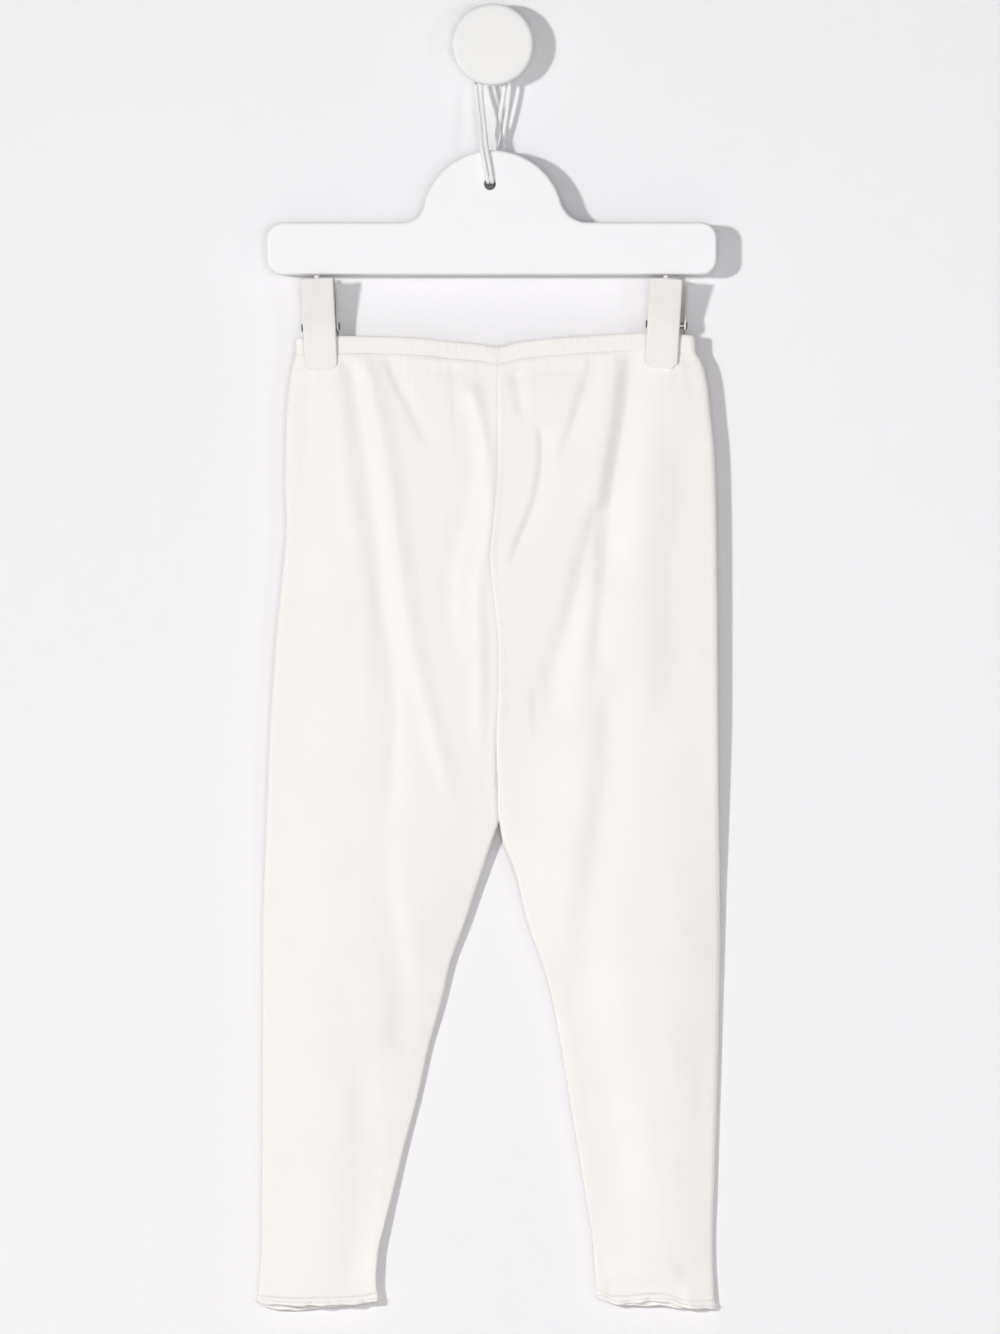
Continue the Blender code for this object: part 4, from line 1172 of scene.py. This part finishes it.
def panel_inwards(side, points, closed):
    """Unit vectors from a section's outer face into the cloth."""
    if closed:
        ahead = np.roll(points, -1, axis=0) - np.roll(points, 1, axis=0)
    else:
        ahead = np.gradient(points, axis=0)
        ahead[0] = (SIDES[side], 0.0)
        ahead[-1] = -ahead[0]
    ahead = unit(ahead)
    return SIDES[side] * np.stack([-ahead[:, 1], ahead[:, 0]], axis=1)


# %% Build the panels
def leg_panel(side):
    """One leg as a closed thin shell, with a UV map in stitches."""
    rows = [(LEG_START + (CROTCH - LEG_START) * k / ROWS_ABOVE, k / ROWS_ABOVE, None)
            for k in range(ROWS_ABOVE + 1)]
    rows += [(CROTCH + (LEG_END - CROTCH) * k / ROWS_BELOW, None, k / ROWS_BELOW)
             for k in range(1, ROWS_BELOW + 1)]
    layers = {"out": [], "in": []}
    for z, above, below in rows:
        closing = float(ease((CROTCH + CLOSING_LENGTH - z) / CLOSING_LENGTH))
        flat = panel_section(side, z, closing)
        joined = z <= CROTCH
        if joined:
            into = panel_inwards(side, flat[:-1], True)
            into = np.vstack([into, into[:1]])
        else:
            into = panel_inwards(side, flat, False)
        if above is not None:
            top = waist_line(flat[:, 0]) - CASING_HEIGHT + LEG_TUCK
            heights = top + (CROTCH - top) * above
        else:
            heights = CROTCH + (hem_line(z, flat[:, 0], flat[:, 1]) - CROTCH) * below
        for layer, cloth in (("out", flat), ("in", flat + CLOTH_THICKNESS * into)):
            layers[layer].append(np.column_stack([cloth, heights]))
    grid = np.array(layers["out"])
    count, columns = grid.shape[:2]
    across = np.linalg.norm(np.diff(grid, axis=1), axis=2)
    across = np.concatenate([np.zeros((count, 1)), np.cumsum(across, axis=1)], axis=1)
    down = np.linalg.norm(np.diff(grid, axis=0), axis=2)
    down = np.concatenate([np.zeros((1, columns)), np.cumsum(down, axis=0)], axis=0)
    down = np.repeat(down.mean(axis=1)[:, None], columns, axis=1)
    uv = np.stack([across / WALE, down / COURSE], axis=2).reshape(-1, 2)
    points = np.concatenate([grid.reshape(-1, 3), np.array(layers["in"]).reshape(-1, 3)])
    uv = np.concatenate([uv, uv])
    shell = count * columns
    faces = []
    for i in range(count - 1):
        for k in range(columns - 1):
            a, b = i * columns + k, (i + 1) * columns + k
            faces.append((a, b, b + 1, a + 1))
            faces.append((shell + a, shell + a + 1, shell + b + 1, shell + b))
    for row, turn in ((0, 1), (count - 1, -1)):
        for k in range(columns - 1):
            a = row * columns + k
            faces.append((a, a + 1, shell + a + 1, shell + a)[::turn])
    for i in range(ROWS_ABOVE):
        for k, turn in ((0, 1), (columns - 1, -1)):
            a, b = i * columns + k, (i + 1) * columns + k
            faces.append((a, shell + a, shell + b, b)[::turn])
    if side == "right":
        faces = [face[::-1] for face in faces]
    piece = add_piece("leg_cloth_" + side, points, faces, jersey, uv)
    weld = piece.modifiers.new("close the inseam", "WELD")
    weld.merge_threshold = 0.00002
    return face_out(settle(piece)), grid


legs = {}
leg_grids = {}
for side in SIDES:
    legs[side], leg_grids[side] = leg_panel(side)
    print(side, "leg:", len(legs[side].data.polygons), "faces")

# %% [markdown]
# ## Waist casing
#
# The top of the jersey is turned over an elastic and stitched down. The elastic draws it
# into small puffs with a sharp pleat between them, closest together along the top edge.
# The pleats stand at uneven distances and lean a little, so each has a place, a width, a
# depth and a lean from a fixed row of chances.

# %% Gathered casing
CASING_SECTION = -165.0
CASING_WALL = 2.4
CASING_STEPS = 560
CASING_PLEAT = 4.6
STITCH_ROW = 8.65


def casing_path(side):
    """Outer face of half the casing in the (across, depth) plane, in even steps."""
    way = SIDES[side]
    z = CASING_SECTION
    inner = float(inner_edge(side, z, True))
    outer = float(outer_edge(side, z))
    half = float(smooth_table(HALF_AT_FOLD, z))
    middle = float(smooth_table(MIDDLE, z))
    turns = np.radians(np.linspace(-90, 90, 19))
    bend = np.stack([outer - way * half * (1 - np.cos(turns)),
                     middle + half * np.sin(turns)], axis=1)
    points = np.vstack([[inner, middle - half], bend, [inner, middle + half]])
    along = lengths_along(points)
    places = np.linspace(0, along[-1], CASING_STEPS + 1)
    return rows_at(places, along, points), places


def casing_profile():
    """Half of the band's section: (into the wall, below the top edge), up outside and over."""
    outside = [(0.3, 10.0), (0.12, 9.7), (0.03, 9.2), (0.12, STITCH_ROW), (0.04, 8.1), (0.0, 7.4)]
    outside += [(-0.04, down) for down in np.linspace(6.6, 2.0, 7)]
    outside += [(0.0, 1.5), (0.12, 1.0), (0.34, 0.6), (0.62, 0.3), (0.95, 0.08), (1.2, 0.0)]
    inside = [(CASING_WALL - deep, down) for deep, down in outside[::-1][1:]]
    return outside + inside


def pleats(length, seed):
    """Rows of (place along, width, depth, lean, lowest part) of the casing's pleats."""
    chance = np.random.default_rng(seed)
    rows = []
    place = chance.uniform(1.0, 3.0)
    while place < length:
        rows.append((place, chance.uniform(0.6, 1.5), chance.uniform(0.05, 0.22),
                     chance.uniform(-0.12, 0.12), chance.uniform(5.5, 12.0)))
        place += CASING_PLEAT * chance.uniform(0.45, 1.5)
    return rows


def waist_casing(side, seed):
    """Half the casing, from the centre front round the outer fold to the centre back."""
    path, along = casing_path(side)
    into = panel_inwards(side, path, False)
    profile = np.array(casing_profile())
    inside = profile[:, 0] > CASING_WALL / 2
    deep = np.repeat(profile[None, :, 0], len(path), axis=0)
    down = np.repeat(profile[None, :, 1], len(path), axis=0)
    press = np.zeros_like(deep)
    for place, width, depth, lean, reach in pleats(along[-1], seed):
        off = along[:, None] - place - lean * down
        press += depth * np.exp(-np.abs(off / width) ** 1.5) * ease((reach - down) / 3.0)
    chance = np.random.default_rng(seed + 1)
    for _ in range(6):
        pitch, phase = chance.uniform(1.5, 3.2), chance.uniform(0, 2 * math.pi)
        ripple = 1 + np.sin(2 * math.pi * along[:, None] / pitch + phase)
        press += 0.035 * np.exp(-down / 2.5) * ripple
    ends = ease(np.minimum(along, along[-1] - along) / 1.5)[:, None]
    press = np.clip(press, 0, 0.75) * ends
    top_dip = 0.35 * press * np.exp(-down / 1.0)
    deep = deep + np.where(inside, -press, press) * np.where(profile[None, :, 1] < 0.5, 0.3, 1.0)
    top = waist_line(path[:, 0])[:, None]
    across = path[:, None, :] + into[:, None, :] * deep[:, :, None]
    points = np.dstack([across, top - down - top_dip]).reshape(-1, 3)
    around = len(profile)
    sweep = lengths_along(profile)
    uv = np.stack(np.broadcast_arrays(along[:, None] / WALE, sweep[None, :] / COURSE), axis=2)
    faces = grid_faces(len(path), around, closed=True)
    faces += end_caps(len(path), around)
    return face_out(add_piece("casing_cloth_" + side, points, faces, jersey, uv.reshape(-1, 2)))


casings = {side: waist_casing(side, seed) for side, seed in (("left", 3), ("right", 8))}
print("casing pleats about every", CASING_PLEAT, "mm")

# %% [markdown]
# ## Hem edging
#
# Each hem is oversewn with stretched thread, so the last few millimetres flare and wave,
# and hang a little lower behind. The edging is a closed loop, fine enough to carry the
# waves, with a blunt lower lip.

# %% Waved hem edging
HEM_SECTION = -703.0
HEM_HEIGHT = 4.6
HEM_WALL = 1.7
HEM_OVERLAP = 0.6
HEM_STEPS = 420
HEM_WAVES = {"left": (9, 14, 23), "right": (10, 13, 21)}
HEM_WAVE = 0.42
HEM_FLARE = 0.6
HEM_STILL = 14.0
HEM_STITCH = 0.8


def hem_edging(side, seed):
    """The hem edging of one leg as a closed waved loop."""
    z = HEM_SECTION
    flat = panel_section(side, z, 1.0)
    along = lengths_along(flat)
    places = np.linspace(0, along[-1], HEM_STEPS + 1)
    path = rows_at(places, along, flat)[:-1]
    places = places[:-1]
    into = panel_inwards(side, path, True)
    chance = np.random.default_rng(seed)
    wave = np.zeros(HEM_STEPS)
    for count, share in zip(HEM_WAVES[side], (1.0, 0.6, 0.35)):
        wave += share * np.sin(2 * math.pi * count * places / along[-1] + chance.uniform(0, 6))
    room = np.minimum(
        ease(np.abs(path[:, 0] - float(outer_edge(side, z))) / HEM_STILL),
        ease(np.abs(path[:, 0] - float(inner_edge(side, z, True))) / HEM_STILL),
    )
    sway = HEM_WAVE * wave * room
    top = hem_line(z, path[:, 0], path[:, 1]) + HEM_OVERLAP
    drop = HEM_HEIGHT + 0.25 * wave
    profile = (
        # (into the wall, share of the sway, share of the drop, extra drop)
        (0.12, 0.05, 0.0, 0.0), (-0.12, 0.2, 0.2, 0.0), (-0.28, 0.45, 0.45, 0.0),
        (-0.32, 0.75, 0.72, 0.0), (-0.22, 1.0, 1.0, -0.6), (0.02, 1.0, 1.0, -0.22),
        (0.35, 1.0, 1.0, -0.04), (0.7, 1.0, 1.0, 0.0), (1.05, 1.0, 1.0, -0.06),
        (1.35, 1.0, 1.0, -0.28), (1.5, 1.0, 1.0, -0.65), (1.5, 0.75, 0.72, 0.0),
        (1.45, 0.45, 0.45, 0.0), (1.4, 0.2, 0.2, 0.0), (HEM_WALL - 0.4, 0.05, 0.0, 0.0),
    )
    rings = []
    for deep, share, fall, extra in profile:
        out = deep - share * (HEM_FLARE * room + sway)
        place = path + into * out[:, None]
        place[:, 1] = np.minimum(place[:, 1], 0.3 * WALL_CLEAR)
        rings.append(np.column_stack([place, top - fall * drop - extra]))
    points = np.concatenate(rings)
    down = np.array([row[2] for row in profile]) * HEM_HEIGHT
    uv = np.stack(np.broadcast_arrays(places[None, :], down[:, None]), axis=2) / HEM_STITCH
    faces = grid_faces(len(profile), HEM_STEPS, closed=True)
    last = (len(profile) - 1) * HEM_STEPS
    for k in range(HEM_STEPS):
        m = (k + 1) % HEM_STEPS
        faces.append((m, k, last + k, last + m))
    return face_out(add_piece("hem_edging_" + side, points, faces, thread, uv.reshape(-1, 2)))


hems = {side: hem_edging(side, seed) for side, seed in (("left", 12), ("right", 19))}
print("hem edging:", len(hems["left"].data.polygons), "faces a leg")

# %% [markdown]
# ## Stitches
#
# Every row of sewing is the same job: a short thread at each of many places, turned along
# the row and lying on the cloth. A Geometry Nodes tree does it. The places come as a mesh
# of loose points that carry the direction along the thread and the way out of the cloth,
# and the tree puts a rounded thread on each, a little different in size and turn.

# %% The stitch tree
def stitch_tree():
    """Geometry Nodes: threads on points, with sizes, jitter, seed and material as inputs."""
    tree = bpy.data.node_groups.new("Stitches", "GeometryNodeTree")
    face = tree.interface
    for name, kind, value in (
        ("Geometry", "Geometry", None), ("Length", "Float", 0.0022), ("Width", "Float", 0.0004),
        ("Height", "Float", 0.0003), ("Jitter", "Float", 0.1), ("Seed", "Int", None),
        ("Material", "Material", None),
    ):
        socket = face.new_socket(name, in_out="INPUT", socket_type="NodeSocket" + kind)
        if value is not None:
            socket.default_value = value
    face.new_socket("Geometry", in_out="OUTPUT", socket_type="NodeSocketGeometry")
    kinds = {
        "given": "NodeGroupInput", "done": "NodeGroupOutput", "ball": "GeometryNodeMeshUVSphere",
        "sizes": "ShaderNodeCombineXYZ", "shape": "GeometryNodeTransform",
        "along": "GeometryNodeInputNamedAttribute", "out": "GeometryNodeInputNamedAttribute",
        "chance": "FunctionNodeRandomValue", "spread": "ShaderNodeVectorMath",
        "swing": "ShaderNodeVectorMath", "turn": "FunctionNodeAxesToRotation",
        "stretch": "ShaderNodeVectorMath", "put": "GeometryNodeInstanceOnPoints",
        "real": "GeometryNodeRealizeInstances", "smooth": "GeometryNodeSetShadeSmooth",
        "dress": "GeometryNodeSetMaterial",
    }
    nodes = {name: tree.nodes.new(kind) for name, kind in kinds.items()}
    for name in ("along", "out", "chance"):
        nodes[name].data_type = "FLOAT_VECTOR"
    for name, operation in (("spread", "SCALE"), ("swing", "ADD"), ("stretch", "ADD")):
        nodes[name].operation = operation
    for name, socket, value in (
        ("ball", "Segments", 8), ("ball", "Rings", 6), ("ball", "Radius", 0.5),
        ("along", "Name", "along"), ("out", "Name", "out"), ("stretch", 1, (1.0, 1.0, 1.0)),
        ("chance", "Min", (-1.0, -1.0, -1.0)), ("chance", "Max", (1.0, 1.0, 1.0)),
    ):
        nodes[name].inputs[socket].default_value = value
    for start, output, end, socket in (
        ("given", "Length", "sizes", "X"), ("given", "Width", "sizes", "Y"),
        ("given", "Height", "sizes", "Z"), ("ball", "Mesh", "shape", "Geometry"),
        ("sizes", "Vector", "shape", "Scale"), ("given", "Seed", "chance", "Seed"),
        ("chance", "Value", "spread", 0), ("given", "Jitter", "spread", "Scale"),
        ("along", "Attribute", "swing", 0), ("spread", "Vector", "swing", 1),
        ("spread", "Vector", "stretch", 0), ("swing", "Vector", "turn", "Primary Axis"),
        ("out", "Attribute", "turn", "Secondary Axis"), ("given", "Geometry", "put", "Points"),
        ("shape", "Geometry", "put", "Instance"), ("turn", "Rotation", "put", "Rotation"),
        ("stretch", "Vector", "put", "Scale"), ("put", "Instances", "real", "Geometry"),
        ("real", "Geometry", "smooth", "Geometry"), ("smooth", "Geometry", "dress", "Geometry"),
        ("given", "Material", "dress", "Material"), ("dress", "Geometry", "done", "Geometry"),
    ):
        tree.links.new(nodes[start].outputs[output], nodes[end].inputs[socket])
    return tree


STITCHES = stitch_tree()
SOCKETS = {item.name: item.identifier for item in STITCHES.interface.items_tree
           if item.item_type == "SOCKET" and item.in_out == "INPUT"}


def stitch_row(name, places, along, out, size, jitter, seed):
    """Threads at places in millimetres; size is (length, width, height) of one thread."""
    mesh = bpy.data.meshes.new(name)
    mesh.from_pydata((np.asarray(places) * MM).tolist(), [], [])
    mesh.materials.append(thread)
    for key, values in (("along", along), ("out", out)):
        layer = mesh.attributes.new(key, "FLOAT_VECTOR", "POINT")
        layer.data.foreach_set("vector", np.asarray(values, float).ravel())
    piece = link_object(name, mesh)
    grown = piece.modifiers.new("stitches", "NODES")
    grown.node_group = STITCHES
    for key, value in zip(("Length", "Width", "Height"), size):
        grown[SOCKETS[key]] = value * MM
    grown[SOCKETS["Jitter"]] = jitter
    grown[SOCKETS["Seed"]] = seed
    grown[SOCKETS["Material"]] = thread
    settle(piece)
    piece.data.materials.clear()
    piece.data.materials.append(thread)
    piece.data.polygons.foreach_set("material_index", np.zeros(len(piece.data.polygons), int))
    print(name, len(places), "threads,", len(piece.data.polygons), "faces")
    return piece


# %% [markdown]
# ## Rows of sewing
#
# Two rows hold the casing down: one on the band itself and one on the cloth just under
# it. A ladder of cover stitch straddles the centre seam in front and behind. The hems are
# oversewn, with a thread across the edging every two millimetres or so.

# %% Sew the casing
SEWING_PITCH = 2.45
SEAM_PITCH = 1.7
TICK_STEPS = (4.2, 7.6)
SEAM_REACH = {"rungs": 1.4, "edges": 2.8}
THREADS = {
    # row: (length, width, height) of one thread
    "casing": (1.9, 0.42, 0.36), "band": (1.9, 0.4, 0.34), "seam": (2.3, 0.42, 0.34),
    "hem": (4.1, 0.55, 0.5),
}
THREAD_LIFT = 0.05


def cloth_out(grid, side):
    """Directions out of a leg's grid of points, at every point."""
    across = unit(np.gradient(grid, axis=1))
    down = unit(np.gradient(grid, axis=0))
    return unit(np.cross(down, across)) * SIDES[side]


def casing_row(side, seed):
    """Stitches along the pressed line of the casing, all the way round it."""
    path, along = casing_path(side)
    into = panel_inwards(side, path, False)
    count = int(along[-1] / SEWING_PITCH)
    at = (np.arange(count) + 0.5) * along[-1] / count
    place = rows_at(at, along, path)
    inward = rows_at(at, along, into)
    place = place + 0.36 * inward
    height = waist_line(place[:, 0]) - STITCH_ROW
    places = np.column_stack([place, height])
    ahead = unit(np.gradient(places, axis=0))
    out = np.column_stack([-inward, np.zeros(count)])
    return stitch_row("casing_stitches_" + side, places, ahead, out, THREADS["casing"], 0.06,
                      seed)


def band_row(side, pick_row, seed):
    """Stitches under the casing, along one row of a leg's grid."""
    grid = leg_grids[side]
    line, normal = grid[pick_row], cloth_out(grid, side)[pick_row]
    along = lengths_along(line)
    at = (np.arange(int(along[-1] / SEWING_PITCH)) + 0.5) * SEWING_PITCH
    place = rows_at(at, along, line)
    way_out = unit(rows_at(at, along, normal))
    ahead = unit(np.gradient(place, axis=0))
    return stitch_row("band_stitches_" + side, place + THREAD_LIFT * way_out, ahead, way_out,
                      THREADS["band"], 0.06, seed)


sewing = {side: [casing_row(side, 21), band_row(side, 3, 22)] for side in SIDES}


# %% Sew the centre seam
def seam_ladder(name, front, seed):
    """Cover stitch over the centre seam: rungs across it, and a thread down each side."""
    column = 0 if front else -1
    grid = leg_grids["left"]
    line = grid[4:ROWS_ABOVE - 3, column]
    along = lengths_along(line)
    at = np.arange(0.8, along[-1], SEAM_PITCH)
    middle = rows_at(at, along, line)
    way = -1.0 if front else 1.0
    surface = {}
    for side in SIDES:
        panel = leg_grids[side][4:ROWS_ABOVE - 3]
        panel = panel if front else panel[:, ::-1]
        for thread_line, reach in SEAM_REACH.items():
            x_of = middle[:, 0] + SIDES[side] * reach
            y_of = []
            for x, z in zip(x_of, middle[:, 2]):
                row = panel[int(np.argmin(np.abs(panel[:, 0, 2] - z)))][:40]
                order = np.argsort(row[:, 0])
                y_of.append(np.interp(x, row[order, 0], row[order, 1]))
            surface[side, thread_line] = np.column_stack([x_of, y_of, middle[:, 2]])
    out = np.tile((0.0, way, 0.0), (len(at), 1))
    places, ahead = [], []
    for side in SIDES:
        places.append(surface[side, "edges"] + (0, 0.06 * way, 0))
        ahead.append(np.tile((0.0, 0.0, 1.0), (len(at), 1)))
        places.append(surface[side, "rungs"] + (0, 0.10 * way, 0))
        ahead.append(np.tile((1.0, 0.0, 0.15 * SIDES[side]), (len(at), 1)))
    return stitch_row(name, np.concatenate(places), np.concatenate(ahead), np.tile(out, (4, 1)),
                      THREADS["seam"], 0.08, seed)


sewing["seam"] = [seam_ladder("seam_ladder_front", True, 31),
                  seam_ladder("seam_ladder_back", False, 32)]


# %% Oversew the hems
def hem_ticks(side, seed):
    """Threads across the hem edging, outside and inside, at uneven distances."""
    piece = hems[side]
    count = HEM_STEPS
    points = np.array([v.co for v in piece.data.vertices]).reshape(-1, count, 3) / MM
    chance = np.random.default_rng(seed)
    outer = points[1:5].mean(axis=0)
    run = points[4] - points[1]
    ring = unit(np.roll(points[3], -1, axis=0) - np.roll(points[3], 1, axis=0))
    out = unit(np.cross(ring, run))
    if float(np.dot(out[count // 8], outer[count // 8] - points[:, count // 8].mean(axis=0))) < 0:
        out = -out
    picks = []
    k = 0.0
    while k < count:
        picks.append(int(k))
        k += chance.uniform(*TICK_STEPS)
    picks = np.array(picks)
    lean = ring[picks] * chance.uniform(0.05, 0.4, len(picks))[:, None]
    ahead = unit(unit(run[picks]) + lean)
    places = outer[picks] + 0.12 * out[picks]
    places[:, 1] = np.minimum(places[:, 1], 5.5 * WALL_CLEAR)
    return stitch_row("hem_stitches_" + side, places, ahead, out[picks], THREADS["hem"], 0.05,
                      seed)


for side in SIDES:
    sewing[side].append(hem_ticks(side, 51))

# %% [markdown]
# ## Wall and floor
#
# The wall is the plane that the peg stands on. A pale floor lies out of the picture. Both
# only stand in for the room.

# %% Stage
def plain_plane(name, corners, finish):
    """A flat four-cornered piece of the room."""
    mesh = bpy.data.meshes.new(name)
    mesh.from_pydata([(x * MM, y * MM, z * MM) for x, y, z in corners], [], [(0, 1, 2, 3)])
    mesh.materials.append(finish)
    return link_object(name, mesh)


def one_sided(material):
    """Let light and sight pass through a surface's back."""
    tree = material.node_tree
    shader = tree.nodes["Principled BSDF"]
    output = tree.nodes["Material Output"]
    clear = add_node(material, "ShaderNodeBsdfTransparent")
    choice = add_node(material, "ShaderNodeMixShader")
    seen = add_node(material, "ShaderNodeNewGeometry")
    wire(material, seen.outputs["Backfacing"], choice.inputs["Fac"])
    wire(material, shader.outputs["BSDF"], choice.inputs[1])
    wire(material, clear.outputs["BSDF"], choice.inputs[2])
    wire(material, choice.outputs["Shader"], output.inputs["Surface"])


wall_paint = new_finish("wall paint", (0.87, 0.862, 0.885), 0.9, Specular_IOR_Level=0.1)
vary_colour(wall_paint, noise(wall_paint, 1.4, 2), (0.862, 0.854, 0.877), (0.878, 0.870, 0.893))
add_bump(wall_paint, noise(wall_paint, 500, 3), 0.00002, 0.5)
one_sided(wall_paint)
floor_paint = new_finish("floor paint", (0.80, 0.79, 0.78), 0.8)
WALL_PLACE = 0.4
ROOM_LEFT, ROOM_RIGHT = -1600, 1600
ROOM_FRONT, ROOM_TOP, FLOOR_HEIGHT = -3200, 900, -860.0
wall = plain_plane("wall", (
    (ROOM_LEFT, WALL_PLACE, FLOOR_HEIGHT), (ROOM_RIGHT, WALL_PLACE, FLOOR_HEIGHT),
    (ROOM_RIGHT, WALL_PLACE, ROOM_TOP), (ROOM_LEFT, WALL_PLACE, ROOM_TOP),
), wall_paint)
floor = plain_plane("floor", (
    (ROOM_LEFT, ROOM_FRONT, FLOOR_HEIGHT), (ROOM_RIGHT, ROOM_FRONT, FLOOR_HEIGHT),
    (ROOM_RIGHT, WALL_PLACE, FLOOR_HEIGHT), (ROOM_LEFT, WALL_PLACE, FLOOR_HEIGHT),
), floor_paint)

# %% [markdown]
# ## Light
#
# Shadows fall to the right and a little down, with a soft edge: one small light on the
# left, about level with the peg. A broad light in front, which the camera looks through,
# lifts them, and leaves the narrow gaps between the pieces as bright as the open wall. A
# faint light from the right gives the second, barely visible shadow. The rest is a soft
# white room. The key light doesn't weaken with distance, as the photograph is nearly as
# bright on the right.

# %% Lights and world
KEY_POWER = 27.4
FRONT_POWER = 17.6
RIGHT_POWER = 4.0
WORLD_STRENGTH = 0.12
KEY_STEADY = 0.2


def area_light(name, place, target, size, power, colour, steady=None):
    """A round area light aimed at a point; a steady strength takes its falloff away."""
    data = bpy.data.lights.new(name, "AREA")
    data.shape = "DISK"
    data.size = size
    data.energy = power
    data.color = colour
    lamp = link_object(name, data)
    lamp.location = place
    lamp.visible_camera = False
    aim = Vector(target) - Vector(place)
    lamp.rotation_euler = aim.to_track_quat("-Z", "Y").to_euler()
    if steady is not None:
        data.use_nodes = True
        tree = data.node_tree
        falloff = tree.nodes.new("ShaderNodeLightFalloff")
        falloff.inputs["Strength"].default_value = steady
        tree.links.new(falloff.outputs["Constant"], tree.nodes["Emission"].inputs["Strength"])
    return lamp


AIM = (0.0, 0.0, -0.35)
area_light("key", (-1.20, -2.00, -0.03), AIM, 0.17, KEY_POWER, (1.0, 0.99, 0.975),
           KEY_STEADY)
area_light("front", (0.15, -2.80, -0.20), AIM, 1.0, FRONT_POWER, (1.0, 1.0, 1.0))
area_light("right", (1.30, -2.00, -0.10), AIM, 0.45, RIGHT_POWER, (0.97, 0.98, 1.0))
world = bpy.data.worlds.new("soft room")
bpy.context.scene.world = world
world.use_nodes = True
world.node_tree.nodes["Background"].inputs["Color"].default_value = (1.0, 1.0, 1.0, 1.0)
world.node_tree.nodes["Background"].inputs["Strength"].default_value = WORLD_STRENGTH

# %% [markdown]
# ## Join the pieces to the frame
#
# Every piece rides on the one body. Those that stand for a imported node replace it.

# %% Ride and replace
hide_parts("peg")
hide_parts("hanger_board")
for name, piece in cords.items():
    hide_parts("cord_turn_" + name)
for side in SIDES:
    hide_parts("clip_front_" + side)
    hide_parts("clip_rear_" + side)
    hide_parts("clip_pin_" + side)
    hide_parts("leg_" + side)
    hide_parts("waist_casing_" + side)
    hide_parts("hem_" + side)
    frame["nodes"]["clip_tongue_" + side].data.materials.clear()
    frame["nodes"]["clip_tongue_" + side].data.materials.append(enamel)
made = [o for o in bpy.context.scene.objects if o.type == "MESH" and "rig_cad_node" not in o]
for piece in made:
    if piece not in (wall, floor):
        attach(piece, "root")

# %% [markdown]
# ## Cloth that was cut flat
#
# One panel makes each leg. Its half of the casing, its hem edging and its rows of
# stitches are gathered with it, and the centre seam's ladders go with the left leg. Both
# hang by the waist from the clips.

for side in SIDES:
    sewn = [casings[side], hems[side], *sewing[side]]
    if side == "left":
        sewn += sewing["seam"]
